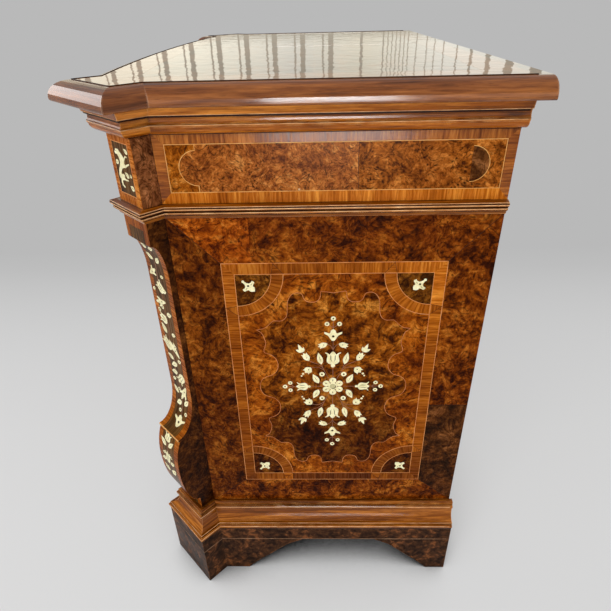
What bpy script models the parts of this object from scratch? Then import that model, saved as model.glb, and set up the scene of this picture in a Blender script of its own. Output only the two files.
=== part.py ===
"""Bow-fronted walnut commode with canted scroll pilasters, four drawers and bracket feet.

Metres, +Z up. The front faces -Y and the origin is on the floor under the middle of the overall box.
Plan shapes are drawn from one outline, the outside of the carcass, pushed outward by a reach.
"""
import math

import bmesh
import bpy

# Gap between pieces that touch
FIT = 0.0003

# Heights of the stacked members, from the floor up
FOOT_HEIGHT = 0.0897
PLINTH_HEIGHT = 0.0303
BASE_MOULDING_HEIGHT = 0.0535
PANEL_HEIGHT = 0.5455
WAIST_HEIGHT = 0.019
FRIEZE_HEIGHT = 0.0845
CORNICE_HEIGHT = 0.0343
TOP_THICKNESS = 0.0232

# Plan of the carcass
HALF_WIDTH = 0.454
SIDE_DEPTH = 0.429
CANT_FACE = 0.0586
CANT_RETURN = 0.0265
BOW_RISE = 0.020
BOW_STEPS = 16

# Carcass boards
SIDE_THICKNESS = 0.022
BACK_THICKNESS = 0.012
BOTTOM_THICKNESS = 0.018
POST_STILE = 0.0186
RAIL_HEIGHT = 0.016
RUNNER_THICKNESS = 0.014
RUNNER_SHELF = 0.018
RUNNER_GUIDE = 0.014

# Reaches of the outer members beyond the carcass, and overhangs at the back
TOP_REACH = 0.019
NOSING_REACH = 0.042
NOSING_EDGE = 0.0048
NOSING_ROUND = 0.0028
FASCIA_REACH = 0.021
FASCIA_HEIGHT = 0.0113
WAIST_REACH = 0.011
BASE_REACH = 0.0268
PLINTH_REACH = 0.0245
TOP_BACK_OVERHANG = 0.0155
CORNICE_BACK_OVERHANG = 0.0033
BASE_BACK_OVERHANG = 0.005

# Scroll pilaster, r is measured outward from the canted face
TABLET_HEIGHT = 0.032
CAVETTO_HEIGHT = 0.055
SHANK_RECESS = 0.0175
ARRIS_HEIGHT = 0.1805
ARRIS_REACH = 0.018
ARRIS_FILLET = 0.003
ARRIS_NOTCH = 0.0015
SWEEP_HEIGHT = 0.070
BELLY_DROP = 0.064
BELLY_REACH = 0.0276
BELLY_START = 57.0
SCROLL_FOOT = 0.026

# Bracket feet
FOOT_THICKNESS = 0.024
FRONT_FOOT_FLAT = 0.045
FRONT_WING = 0.104
REAR_FOOT_FLAT = 0.036
REAR_WING = 0.102
REAR_RETURN = 0.110
WING_TIP = 0.002
BRACKET_CURVE = ((0.0, 0.0), (0.05, 0.09), (0.2, 0.27), (0.4, 0.47), (0.56, 0.65), (0.76, 0.86), (1.0, 1.0))

# Drawers
LOWER_DRAWERS = ("lower", "middle", "upper")
DRAWER_REVEAL = 0.0015
DRAWER_PLAY = 0.002
DRAWER_HEADROOM = 0.012
DRAWER_BACK_GAP = 0.012
FRONT_THICKNESS = 0.022
DRAWER_BOARD = 0.012
DRAWER_BOTTOM = 0.008
DRAWER_BOTTOM_RAISE = 0.006

# Knobs
KNOB_SPACING = 0.470
KNOB_RADIUS = 0.0130
KNOB_LENGTH = 0.030
KNOB_NECK_RADIUS = 0.0055
KNOB_ROSE_RADIUS = 0.0165
KNOB_ROSE_HEIGHT = 0.0045
SPINDLE_RADIUS = 0.003
SPINDLE_TAIL = 0.006
KNOB_STEPS = 16

# Levels worked out from the heights
PLINTH_BOTTOM = FOOT_HEIGHT
CARCASS_BOTTOM = PLINTH_BOTTOM + PLINTH_HEIGHT
PANEL_BOTTOM = CARCASS_BOTTOM + BASE_MOULDING_HEIGHT
WAIST_BOTTOM = PANEL_BOTTOM + PANEL_HEIGHT
FRIEZE_BOTTOM = WAIST_BOTTOM + WAIST_HEIGHT
CORNICE_BOTTOM = FRIEZE_BOTTOM + FRIEZE_HEIGHT
CARCASS_TOP = CORNICE_BOTTOM + CORNICE_HEIGHT
TOP_LEVEL = CARCASS_TOP + TOP_THICKNESS
WAIST_MIDDLE = WAIST_BOTTOM + WAIST_HEIGHT / 2

# Plan places worked out from the sizes
CANT_STEP = CANT_RETURN / math.sqrt(2)
CANT_RUN = CANT_FACE / math.sqrt(2)
FRONT_PROUD = max(
    CANT_RUN + BOW_RISE + NOSING_REACH,
    CANT_RUN + CANT_STEP + NOSING_REACH * math.sqrt(2),
)
OVERALL_DEPTH = TOP_BACK_OVERHANG + SIDE_DEPTH + FRONT_PROUD
BACK_Y = OVERALL_DEPTH / 2 - TOP_BACK_OVERHANG
CANT_Y = BACK_Y - SIDE_DEPTH
FRONT_HALF = HALF_WIDTH - CANT_RUN
FRONT_Y = CANT_Y - CANT_RUN
BOW_RADIUS = (FRONT_HALF**2 + BOW_RISE**2) / (2 * BOW_RISE)
BOW_CENTRE_Y = FRONT_Y - BOW_RISE + BOW_RADIUS
OPENING_HALF = FRONT_HALF - POST_STILE
SIDE_INNER = HALF_WIDTH - SIDE_THICKNESS
SIDES = {"right": 1, "left": -1}


def clear_scene():
    for item in list(bpy.data.objects):
        bpy.data.objects.remove(item, do_unlink=True)


def new_collection(name):
    collection = bpy.data.collections.new(name)
    bpy.context.scene.collection.children.link(collection)
    return collection


def new_material(name, colour, roughness, metallic=0.0):
    material = bpy.data.materials.new(name)
    material.use_nodes = True
    shader = material.node_tree.nodes["Principled BSDF"]
    shader.inputs["Base Color"].default_value = (*colour, 1.0)
    shader.inputs["Roughness"].default_value = roughness
    shader.inputs["Metallic"].default_value = metallic
    return material


def mirrored(points, side):
    """Plan points of the right-hand half, or their mirror image on the left."""
    return [(side * x, y) for x, y in points]


def ellipse(centre, radii, start, end, steps):
    """Points of an elliptic stretch, with the angles in degrees."""
    points = []
    for step in range(steps + 1):
        angle = math.radians(start + (end - start) * step / steps)
        points.append((centre[0] + radii[0] * math.cos(angle), centre[1] + radii[1] * math.sin(angle)))
    return points


def bow_y(reach, x):
    """Front line of the bow, pushed outward by reach, at x."""
    return BOW_CENTRE_Y - math.sqrt((BOW_RADIUS + reach) ** 2 - x**2)


def bow_run(reach, right, left, steps=BOW_STEPS):
    """Points along the bow from x right to x left."""
    places = [right + (left - right) * step / steps for step in range(steps + 1)]
    return [(x, bow_y(reach, x)) for x in places]


def cant_corners(reach):
    """Corners of the right-hand canted pilaster, from the side round to the front."""
    inner_side = (HALF_WIDTH + reach, CANT_Y + reach * math.tan(math.pi / 8))
    outer_side = (HALF_WIDTH + CANT_STEP + reach * math.sqrt(2), CANT_Y - CANT_STEP)
    outer_front = (FRONT_HALF + CANT_STEP, FRONT_Y - CANT_STEP - reach * math.sqrt(2))
    across = outer_front[0]
    along = outer_front[1] - BOW_CENTRE_Y
    spread = across - along
    excess = across**2 + along**2 - (BOW_RADIUS + reach) ** 2
    slide = (spread - math.sqrt(spread**2 - 2 * excess)) / 2
    inner_front = (across - slide, outer_front[1] + slide)
    return [inner_side, outer_side, outer_front, inner_front]


def outer_run(reach, back):
    """The carcass outline pushed outward, from its right back end round the front to the left."""
    corners = cant_corners(reach)
    right = [(HALF_WIDTH + reach, back), *corners]
    bow = bow_run(reach, corners[-1][0], -corners[-1][0])[1:-1]
    left = mirrored(reversed(right), -1)
    return [*right, *bow, *left]


class Builder:
    """Makes objects in the commode's collection from outlines, profiles and boxes."""

    def __init__(self):
        self.parts = new_collection("commode")
        self.cutters = new_collection("cutters")
        self.burr = new_material("burr_walnut", (0.15, 0.060, 0.022), 0.30)
        self.walnut = new_material("polished_walnut", (0.13, 0.050, 0.020), 0.28)
        self.dark = new_material("dark_walnut", (0.055, 0.024, 0.012), 0.42)
        self.poplar = new_material("poplar", (0.42, 0.28, 0.15), 0.70)
        self.brass = new_material("brass", (0.62, 0.42, 0.16), 0.32, 1.0)

    def place(self, item, location, heading, upright, parent):
        item.location = location
        item.rotation_euler = (math.pi / 2 if upright else 0.0, 0.0, heading)
        item.parent = parent

    def add_mesh(self, name, mesh, material, parent=None):
        item = bpy.data.objects.new(name, mesh)
        self.parts.objects.link(item)
        mesh.materials.clear()
        mesh.materials.append(material)
        item.parent = parent
        return item

    def outline_mesh(self, name, outline, thickness):
        """A flat outline as a filled 2D curve, thickened about its plane and welded into a mesh."""
        curve = bpy.data.curves.new(name + "_outline", "CURVE")
        curve.dimensions = "2D"
        curve.fill_mode = "BOTH"
        curve.extrude = thickness / 2
        spline = curve.splines.new("POLY")
        spline.points.add(len(outline) - 1)
        for point, (across, along) in zip(spline.points, outline):
            point.co = (across, along, 0.0, 1.0)
        spline.use_cyclic_u = True
        guide = bpy.data.objects.new(name + "_guide", curve)
        self.cutters.objects.link(guide)
        graph = bpy.context.evaluated_depsgraph_get()
        mesh = bpy.data.meshes.new_from_object(guide.evaluated_get(graph))
        mesh.name = name
        bpy.data.objects.remove(guide, do_unlink=True)
        bpy.data.curves.remove(curve)
        body = bmesh.new()
        body.from_mesh(mesh)
        bmesh.ops.remove_doubles(body, verts=body.verts, dist=0.000001)
        bmesh.ops.recalc_face_normals(body, faces=body.faces)
        body.to_mesh(mesh)
        body.free()
        return mesh

    def slab(self, name, outline, low, high, material, parent=None):
        """A plan outline between two heights."""
        item = self.add_mesh(name, self.outline_mesh(name, outline, high - low), material)
        self.place(item, (0.0, 0.0, (low + high) / 2), 0.0, False, parent)
        return item

    def upright(self, name, outline, thickness, material, location, heading):
        """An outline of (horizontal, height) pairs standing on edge, its horizontal along heading."""
        item = self.add_mesh(name, self.outline_mesh(name, outline, thickness), material)
        self.place(item, location, heading, True, None)
        return item

    def box(self, name, low, high, material, parent=None):
        body = bmesh.new()
        bmesh.ops.create_cube(body, size=1.0)
        spans = [top - bottom for bottom, top in zip(low, high)]
        bmesh.ops.scale(body, vec=spans, verts=body.verts)
        mesh = bpy.data.meshes.new(name)
        body.to_mesh(mesh)
        body.free()
        item = self.add_mesh(name, mesh, material, parent)
        item.location = [(bottom + top) / 2 for bottom, top in zip(low, high)]
        return item

    def moulding(self, name, profile, back, material):
        """A closed profile of (reach, height) pairs carried round the carcass with mitred corners."""
        body = bmesh.new()
        runs = []
        for reach, height in profile:
            runs.append([body.verts.new((x, y, height)) for x, y in outer_run(reach, back)])
        for run, following in zip(runs, runs[1:] + runs[:1]):
            for first in range(len(run) - 1):
                body.faces.new((run[first], run[first + 1], following[first + 1], following[first]))
        body.faces.new([run[0] for run in runs])
        body.faces.new([run[-1] for run in reversed(runs)])
        bmesh.ops.recalc_face_normals(body, faces=body.faces)
        mesh = bpy.data.meshes.new(name)
        body.to_mesh(mesh)
        body.free()
        mesh.shade_smooth()
        mesh.set_sharp_from_angle(angle=math.radians(32))
        return self.add_mesh(name, mesh, material)

    def turned(self, name, profile, steps, material, parent):
        """A profile of (radius, height) pairs, top to bottom, turned about Z."""
        mesh = bpy.data.meshes.new(name)
        points = [(radius, 0.0, height) for radius, height in profile]
        edges = [(first, first + 1) for first in range(len(points) - 1)]
        mesh.from_pydata(points, edges, [])
        item = self.add_mesh(name, mesh, material, parent)
        screw = item.modifiers.new("turn", "SCREW")
        screw.steps = steps
        screw.render_steps = steps
        screw.use_merge_vertices = True
        screw.merge_threshold = 0.00001
        screw.use_smooth_shade = True
        return item

    def cutter(self, item):
        """Makes an object a cutting tool that is not part of the commode."""
        for collection in list(item.users_collection):
            collection.objects.unlink(item)
        self.cutters.objects.link(item)
        item.hide_render = True
        item.display_type = "WIRE"
        return item

    def cut(self, item, tool):
        boolean = item.modifiers.new("cut", "BOOLEAN")
        boolean.operation = "DIFFERENCE"
        boolean.object = tool


def nosing_profile():
    """Thumb edge of the top: a quarter ellipse above a narrow upright edge with a rounded foot."""
    inner = TOP_REACH + FIT
    bottom = CARCASS_TOP + FIT
    edge = CARCASS_TOP + NOSING_EDGE
    crown = ellipse((inner, edge), (NOSING_REACH - inner, TOP_LEVEL - edge), 90, 0, 8)
    round_centre = (NOSING_REACH - NOSING_ROUND, bottom + NOSING_ROUND)
    foot = ellipse(round_centre, (NOSING_ROUND, NOSING_ROUND), 0, -90, 3)
    return [*crown, *foot, (inner, bottom)]


def cornice_profile():
    """Leaning fascia, shallow hollow, bead and quarter round under the top."""
    top = CARCASS_TOP - FIT
    bottom = CORNICE_BOTTOM + FIT
    fascia_bottom = CARCASS_TOP - FASCIA_HEIGHT
    fascia_foot = FASCIA_REACH * 0.83
    hollow_reach = FASCIA_REACH * 0.72
    hollow_sink = FASCIA_REACH * 0.1
    bead_reach = FASCIA_REACH * 0.71
    round_reach = FASCIA_REACH * 0.65
    neck_reach = FASCIA_REACH * 0.1
    remaining = fascia_bottom - CORNICE_BOTTOM
    bead = remaining * 0.075
    bead_level = CORNICE_BOTTOM + remaining * 0.49
    hollow_middle = (bead_level + bead + fascia_bottom) / 2
    hollow_radii = (hollow_sink, fascia_bottom - hollow_middle)
    hollow = ellipse((hollow_reach, hollow_middle), hollow_radii, 90, 270, 6)
    nose = ellipse((bead_reach - bead, bead_level), (bead, bead), 90, -90, 4)
    round_top = bead_level - bead
    quarter = ellipse((neck_reach, round_top), (round_reach - neck_reach, round_top - bottom), 0, -90, 5)
    return [
        (FIT, top),
        (FASCIA_REACH, top),
        (fascia_foot, fascia_bottom),
        *hollow,
        *nose[1:-1],
        *quarter,
        (FIT, bottom),
    ]


def waist_profile():
    """Two beads, the upper one larger, between fillets."""
    nose = WAIST_HEIGHT * 0.16
    bead = WAIST_HEIGHT * 0.115
    nose_level = WAIST_BOTTOM + WAIST_HEIGHT * 0.76
    bead_level = WAIST_BOTTOM + WAIST_HEIGHT * 0.42
    groove_level = WAIST_BOTTOM + WAIST_HEIGHT * 0.27
    ledge_reach = WAIST_REACH * 0.36
    quirk_reach = WAIST_REACH * 0.55
    bead_reach = WAIST_REACH * 0.79
    groove_reach = WAIST_REACH * 0.45
    neck_reach = WAIST_REACH * 0.27
    upper = ellipse((WAIST_REACH - nose, nose_level), (nose, nose), 90, -90, 6)
    lower = ellipse((bead_reach - bead, bead_level), (bead, bead), 80, -80, 4)
    return [
        (FIT, FRIEZE_BOTTOM - FIT),
        (ledge_reach, FRIEZE_BOTTOM - FIT),
        *upper,
        (quirk_reach, nose_level - nose),
        *lower,
        (groove_reach, groove_level),
        (neck_reach, WAIST_BOTTOM + FIT),
        (FIT, WAIST_BOTTOM + FIT),
    ]


def base_profile():
    """Sloped ledge, bead, deep hollow, fillet and a heavier bead on the plinth."""
    low = CARCASS_BOTTOM + FIT
    rise = BASE_MOULDING_HEIGHT
    bead = rise * 0.1
    small_bead = rise * 0.075
    bead_level = CARCASS_BOTTOM + rise * 0.125
    fillet_level = CARCASS_BOTTOM + rise * 0.24
    hollow_foot = CARCASS_BOTTOM + rise * 0.28
    hollow_top = CARCASS_BOTTOM + rise * 0.67
    small_level = CARCASS_BOTTOM + rise * 0.79
    ledge_level = CARCASS_BOTTOM + rise * 0.96
    seat_reach = BASE_REACH * 0.72
    fillet_reach = BASE_REACH * 0.87
    hollow_reach = BASE_REACH * 0.84
    small_reach = BASE_REACH * 0.45
    neck_reach = BASE_REACH * 0.33
    ledge_reach = BASE_REACH * 0.2
    hollow_radii = (hollow_reach - neck_reach, hollow_top - hollow_foot)
    hollow = ellipse((hollow_reach, hollow_top), hollow_radii, -90, -180, 6)
    lower = ellipse((BASE_REACH - bead, bead_level), (bead, bead), -90, 90, 6)
    upper = ellipse((small_reach - small_bead, small_level), (small_bead, small_bead), -90, 90, 5)
    return [
        (FIT, low),
        (seat_reach, low),
        *lower,
        (fillet_reach, fillet_level),
        (fillet_reach, hollow_foot),
        *hollow,
        *upper,
        (neck_reach, ledge_level),
        (ledge_reach, PANEL_BOTTOM - FIT),
        (FIT, PANEL_BOTTOM - FIT),
    ]


def scroll_profile():
    """Front line and back of the scroll pilaster as (r, height) pairs."""
    top = WAIST_MIDDLE - FIT / 2
    tablet = WAIST_BOTTOM - TABLET_HEIGHT
    shank_top = tablet - CAVETTO_HEIGHT
    arris = PANEL_BOTTOM + ARRIS_HEIGHT
    notch = arris - ARRIS_FILLET
    belly = arris - BELLY_DROP
    cavetto = ellipse((0.0, shank_top), (SHANK_RECESS, CAVETTO_HEIGHT), 90, 180, 7)
    sweep_radii = (ARRIS_REACH + SHANK_RECESS, SWEEP_HEIGHT)
    sweep = ellipse((ARRIS_REACH, arris + SWEEP_HEIGHT), sweep_radii, 180, 270, 9)
    upper_radii = (BELLY_REACH, (notch - belly) / math.sin(math.radians(BELLY_START)))
    upper = ellipse((0.0, belly), upper_radii, BELLY_START, 0, 6)
    lower_radii = (BELLY_REACH, belly - PANEL_BOTTOM - SCROLL_FOOT)
    lower = ellipse((0.0, belly), lower_radii, 0, -90, 9)[1:]
    foot = CARCASS_BOTTOM + FIT
    back = -CANT_RETURN + FIT
    return [
        (back, top),
        (0.0, top),
        *cavetto,
        *sweep,
        (ARRIS_REACH, notch),
        (upper[0][0] - ARRIS_NOTCH, notch),
        *upper,
        *lower,
        (0.0, foot),
        (back, foot),
    ]


def knob_profile():
    """Turned knob on a stepped rose, with the spindle that passes through the drawer front."""
    stem = KNOB_LENGTH - KNOB_ROSE_HEIGHT
    ball_rise = stem * 0.41
    neck_top = KNOB_ROSE_HEIGHT + stem * 0.18
    rose_step = KNOB_ROSE_HEIGHT * 0.8
    rose_edge = KNOB_ROSE_HEIGHT * 0.35
    rose_inner = (KNOB_NECK_RADIUS + KNOB_ROSE_RADIUS) / 2
    ball = ellipse((0.0, KNOB_LENGTH - ball_rise), (KNOB_RADIUS, ball_rise), 90, -50, 7)
    ball[0] = (0.0, KNOB_LENGTH)
    return [
        *ball,
        (KNOB_NECK_RADIUS, neck_top),
        (KNOB_NECK_RADIUS, KNOB_ROSE_HEIGHT),
        (rose_inner, rose_step),
        (KNOB_ROSE_RADIUS, rose_edge),
        (KNOB_ROSE_RADIUS, FIT),
        (SPINDLE_RADIUS, FIT),
        (SPINDLE_RADIUS, -FRONT_THICKNESS - SPINDLE_TAIL),
        (0.0, -FRONT_THICKNESS - SPINDLE_TAIL),
    ]


def make_top(build):
    outline = outer_run(TOP_REACH, BACK_Y + TOP_BACK_OVERHANG)
    build.slab("top_board", outline, CARCASS_TOP, TOP_LEVEL, build.burr)
    build.moulding("top_nosing", nosing_profile(), BACK_Y + TOP_BACK_OVERHANG, build.walnut)


def make_mouldings(build):
    build.moulding("cornice_moulding", cornice_profile(), BACK_Y + CORNICE_BACK_OVERHANG, build.walnut)
    build.moulding("waist_moulding", waist_profile(), BACK_Y, build.walnut)
    build.moulding("base_moulding", base_profile(), BACK_Y + BASE_BACK_OVERHANG, build.walnut)


def make_carcass_side(build, name, side):
    """One side panel with its corner post, frieze block and scroll pilaster."""
    low = CARCASS_BOTTOM + FIT
    high = CARCASS_TOP - FIT
    edges = sorted((side * SIDE_INNER, side * HALF_WIDTH))
    panel_low = (edges[0], CANT_Y + FIT, low)
    build.box("side_panel_" + name, panel_low, (edges[1], BACK_Y, high), build.burr)
    post_front = bow_run(0.0, FRONT_HALF, OPENING_HALF, 2)
    post = [(HALF_WIDTH, CANT_Y), *post_front, (OPENING_HALF, CANT_Y)]
    build.slab("corner_post_" + name, mirrored(post, side), low, high, build.walnut)
    middle = (side * (HALF_WIDTH + FRONT_HALF) / 2, (CANT_Y + FRONT_Y) / 2)
    outward = (side / math.sqrt(2), -1 / math.sqrt(2))
    face = [place + CANT_RETURN * way for place, way in zip(middle, outward)]
    heading = math.atan2(outward[1], outward[0])
    scroll_place = (face[0], face[1], 0.0)
    build.upright("scroll_pilaster_" + name, scroll_profile(), CANT_FACE, build.walnut, scroll_place, heading)
    block_low = WAIST_MIDDLE + FIT / 2
    block = [(-CANT_RETURN + FIT, block_low), (0.0, block_low), (0.0, high), (-CANT_RETURN + FIT, high)]
    build.upright("frieze_block_" + name, block, CANT_FACE, build.burr, scroll_place, heading)


def make_back_and_bottom(build):
    inside = SIDE_INNER - FIT
    back_front = BACK_Y - BACK_THICKNESS
    low = CARCASS_BOTTOM + FIT
    back_low = (-inside, back_front, low)
    build.box("back_panel", back_low, (inside, BACK_Y, CARCASS_TOP - FIT), build.poplar)
    floor_low = (-inside, CANT_Y + FIT, PANEL_BOTTOM - BOTTOM_THICKNESS)
    build.box("bottom_board", floor_low, (inside, back_front - FIT, PANEL_BOTTOM), build.poplar)


def make_rail(build, name, low, high):
    """A bow-fronted rail between the corner posts."""
    half = OPENING_HALF - FIT
    outline = [*bow_run(0.0, half, -half), (-half, CANT_Y), (half, CANT_Y)]
    build.slab(name, outline, low, high, build.walnut)


def make_runner(build, name, side, level):
    """An L-shaped runner: a shelf under the drawer side and a guide beside it."""
    outer = SIDE_INNER - FIT
    shelf = OPENING_HALF - RUNNER_SHELF
    low = -RUNNER_THICKNESS
    section = [
        (shelf, low),
        (outer, low),
        (outer, RUNNER_GUIDE),
        (OPENING_HALF, RUNNER_GUIDE),
        (OPENING_HALF, 0.0),
        (shelf, 0.0),
    ]
    front = CANT_Y + FIT
    back = BACK_Y - BACK_THICKNESS - FIT
    place = (0.0, (front + back) / 2, level)
    build.upright(name, mirrored(section, side), back - front, build.poplar, place, 0.0)


def make_plinth(build):
    """The frame that the carcass stands on, open at the back."""
    back = BACK_Y + BASE_BACK_OVERHANG
    inner = OPENING_HALF
    outline = [
        *outer_run(PLINTH_REACH, back),
        (-inner, back),
        (-inner, CANT_Y),
        (inner, CANT_Y),
        (inner, back),
    ]
    build.slab("plinth_frame", outline, PLINTH_BOTTOM, CARCASS_BOTTOM, build.dark)


def bracket_cutter(build, name, flat_end, way, length, across, heading, location):
    """A tool below the bracket curve, from the flat of the foot to past the wing's tip."""
    rise = FOOT_HEIGHT - FIT - WING_TIP
    curve = [(flat_end + way * length * along, rise * up) for along, up in BRACKET_CURVE]
    beyond = flat_end + way * (length + FOOT_THICKNESS)
    outline = [(flat_end, -FOOT_THICKNESS), *curve, (beyond, rise), (beyond, -FOOT_THICKNESS)]
    return build.cutter(build.upright(name, outline, across, build.dark, location, heading))


def make_front_foot(build, name, side):
    """Bracket foot that wraps the canted corner, with a wing along the side and one along the front."""
    corners = cant_corners(PLINTH_REACH)
    side_flat = corners[0][1] + FRONT_FOOT_FLAT
    front_flat = corners[-1][0] - FRONT_FOOT_FLAT
    side_tip = side_flat + FRONT_WING
    front_tip = front_flat - FRONT_WING
    outer_x = HALF_WIDTH + PLINTH_REACH
    inner_x = outer_x - FOOT_THICKNESS
    inner_y = corners[-1][1] + FOOT_THICKNESS
    outline = [
        (outer_x, side_tip),
        *corners,
        *bow_run(PLINTH_REACH, corners[-1][0], front_tip, 4)[1:],
        (front_tip, inner_y),
        (inner_x - CANT_RUN, inner_y),
        (inner_x, inner_y + CANT_RUN),
        (inner_x, side_tip),
    ]
    foot = build.slab("foot_front_" + name, mirrored(outline, side), 0.0, FOOT_HEIGHT - FIT, build.dark)
    reach = FOOT_THICKNESS * 4
    side_place = (side * outer_x, 0.0, 0.0)
    side_tool = bracket_cutter(
        build, "front_foot_side_" + name, side_flat, 1, FRONT_WING, reach, math.pi / 2, side_place
    )
    front_place = (0.0, corners[-1][1], 0.0)
    front_tool = bracket_cutter(
        build, "front_foot_front_" + name, side * front_flat, -side, FRONT_WING, reach, 0.0, front_place
    )
    build.cut(foot, side_tool)
    build.cut(foot, front_tool)


def make_rear_foot(build, name, side):
    """Bracket foot at the back: a wing along the side and a short return along the back."""
    outer_x = HALF_WIDTH + PLINTH_REACH
    inner_x = outer_x - FOOT_THICKNESS
    back = BACK_Y + BASE_BACK_OVERHANG
    flat = back - REAR_FOOT_FLAT
    tip = flat - REAR_WING
    outline = [
        (outer_x, tip),
        (outer_x, back),
        (outer_x - REAR_RETURN, back),
        (outer_x - REAR_RETURN, back - FOOT_THICKNESS),
        (inner_x, back - FOOT_THICKNESS),
        (inner_x, tip),
    ]
    foot = build.slab("foot_rear_" + name, mirrored(outline, side), 0.0, FOOT_HEIGHT - FIT, build.dark)
    place = (side * outer_x, 0.0, 0.0)
    tool = bracket_cutter(
        build, "rear_foot_side_" + name, flat, -1, REAR_WING, FOOT_THICKNESS * 4, math.pi / 2, place
    )
    build.cut(foot, tool)


def make_knob(build, name, front, parent, x, height):
    """A knob square to the bow, and the hole for its spindle in the drawer front."""
    turn = math.asin(x / BOW_RADIUS)
    item = build.turned(name, knob_profile(), KNOB_STEPS, build.brass, parent)
    place = (x, bow_y(0.0, x), height)
    build.place(item, place, turn, True, parent)
    body = bmesh.new()
    depth = FRONT_THICKNESS * 4
    radius = SPINDLE_RADIUS + FIT
    bmesh.ops.create_cone(body, cap_ends=True, segments=KNOB_STEPS, radius1=radius, radius2=radius, depth=depth)
    mesh = bpy.data.meshes.new(name + "_bore")
    body.to_mesh(mesh)
    body.free()
    bore = build.cutter(build.add_mesh(name + "_bore", mesh, build.brass))
    build.place(bore, place, turn, True, parent)
    build.cut(front, bore)


def make_drawer(build, name, level, height):
    """A drawer whose pieces hang on an empty at the bottom of its opening."""
    slide = bpy.data.objects.new(name + "_slide", None)
    build.parts.objects.link(slide)
    slide.location = (0.0, 0.0, level)
    half = OPENING_HALF - DRAWER_REVEAL
    face = [*bow_run(0.0, half, -half), *bow_run(-FRONT_THICKNESS, -half, half)]
    front_top = height - DRAWER_REVEAL
    front = build.slab(name + "_front", face, DRAWER_REVEAL, front_top, build.burr, slide)
    seat = -FRONT_THICKNESS - FIT
    outer = OPENING_HALF - DRAWER_PLAY
    inner = outer - DRAWER_BOARD
    back = BACK_Y - BACK_THICKNESS - DRAWER_BACK_GAP
    board_top = height - DRAWER_HEADROOM
    for side_name, side in SIDES.items():
        board = [(outer, bow_y(seat, outer)), (inner, bow_y(seat, inner)), (inner, back), (outer, back)]
        title = f"{name}_side_{side_name}"
        build.slab(title, mirrored(board, side), FIT, board_top, build.poplar, slide)
    half_in = inner - FIT
    back_low = (-half_in, back - DRAWER_BOARD, FIT)
    build.box(name + "_back", back_low, (half_in, back, board_top), build.poplar, slide)
    floor_back = back - DRAWER_BOARD - FIT
    floor = [*bow_run(seat, half_in, -half_in), (-half_in, floor_back), (half_in, floor_back)]
    floor_top = DRAWER_BOTTOM_RAISE + DRAWER_BOTTOM
    build.slab(name + "_bottom", floor, DRAWER_BOTTOM_RAISE, floor_top, build.poplar, slide)
    for side_name, side in SIDES.items():
        place = side * KNOB_SPACING / 2
        make_knob(build, f"{name}_knob_{side_name}", front, slide, place, height / 2)


def make_front(build):
    """Rails, runners and drawers from the base up."""
    count = len(LOWER_DRAWERS)
    height = (PANEL_HEIGHT - (count - 1) * RAIL_HEIGHT) / count
    make_rail(build, "base_rail", CARCASS_BOTTOM + FIT, PANEL_BOTTOM)
    for number, name in enumerate(LOWER_DRAWERS):
        level = PANEL_BOTTOM + number * (height + RAIL_HEIGHT)
        make_drawer(build, name + "_drawer", level, height)
        if number:
            make_rail(build, name + "_drawer_rail", level - RAIL_HEIGHT, level)
            for side_name, side in SIDES.items():
                make_runner(build, f"{name}_drawer_runner_{side_name}", side, level)
    make_rail(build, "waist_rail", WAIST_BOTTOM, FRIEZE_BOTTOM)
    make_drawer(build, "frieze_drawer", FRIEZE_BOTTOM, FRIEZE_HEIGHT)
    for side_name, side in SIDES.items():
        make_runner(build, f"frieze_drawer_runner_{side_name}", side, FRIEZE_BOTTOM)
    make_rail(build, "cornice_rail", CORNICE_BOTTOM, CARCASS_TOP - FIT)


def main():
    clear_scene()
    build = Builder()
    make_top(build)
    make_mouldings(build)
    make_plinth(build)
    make_back_and_bottom(build)
    for name, side in SIDES.items():
        make_carcass_side(build, name, side)
        make_front_foot(build, name, side)
        make_rear_foot(build, name, side)
    make_front(build)


main()
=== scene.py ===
"""Looks of a walnut commode with bone inlay: veneers, stringing, inlay, finishes, studio and camera."""

import fnmatch
import math

import bmesh
import bpy
from mathutils import Matrix, Vector


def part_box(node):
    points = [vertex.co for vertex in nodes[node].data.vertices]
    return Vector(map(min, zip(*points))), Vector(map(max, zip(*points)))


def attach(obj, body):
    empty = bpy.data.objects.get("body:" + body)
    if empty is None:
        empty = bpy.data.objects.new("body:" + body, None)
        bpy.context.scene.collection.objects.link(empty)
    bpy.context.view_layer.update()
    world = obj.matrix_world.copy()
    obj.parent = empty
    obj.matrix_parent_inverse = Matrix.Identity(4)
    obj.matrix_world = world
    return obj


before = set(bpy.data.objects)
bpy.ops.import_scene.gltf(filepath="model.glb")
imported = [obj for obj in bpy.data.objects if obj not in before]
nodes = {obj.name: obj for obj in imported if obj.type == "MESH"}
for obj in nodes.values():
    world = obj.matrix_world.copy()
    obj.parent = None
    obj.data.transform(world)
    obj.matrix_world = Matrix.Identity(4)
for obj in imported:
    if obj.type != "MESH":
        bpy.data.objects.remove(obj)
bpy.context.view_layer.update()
scene = bpy.context.scene

MM = 0.001

# Faces of the carcass that carry veneer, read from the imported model.
SIDE_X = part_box("side_panel_right")[1].x
SIDE_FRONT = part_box("side_panel_right")[0].y
SIDE_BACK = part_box("side_panel_right")[1].y
PANEL_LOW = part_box("base_moulding")[1].z
PANEL_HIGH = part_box("waist_moulding")[0].z
FRIEZE_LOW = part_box("waist_moulding")[1].z
FRIEZE_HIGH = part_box("cornice_moulding")[0].z
TOP_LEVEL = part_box("top_board")[1].z
FRONT_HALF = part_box("upper_drawer_front")[1].x

# The bow of the front and the canted corners.
BOW_RADIUS = 4.26521
BOW_CENTRE = 4.041309
CANT_X = 0.45202
CANT_Y = -0.20192
CANT_HALF = 0.0293
SLANT = math.sqrt(0.5)
EAR_Y = -0.162464
EAR_STEP = 0.018738
EAR_FRONT_X = 0.412563
EAR_FRONT_Y = -0.203901

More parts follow.
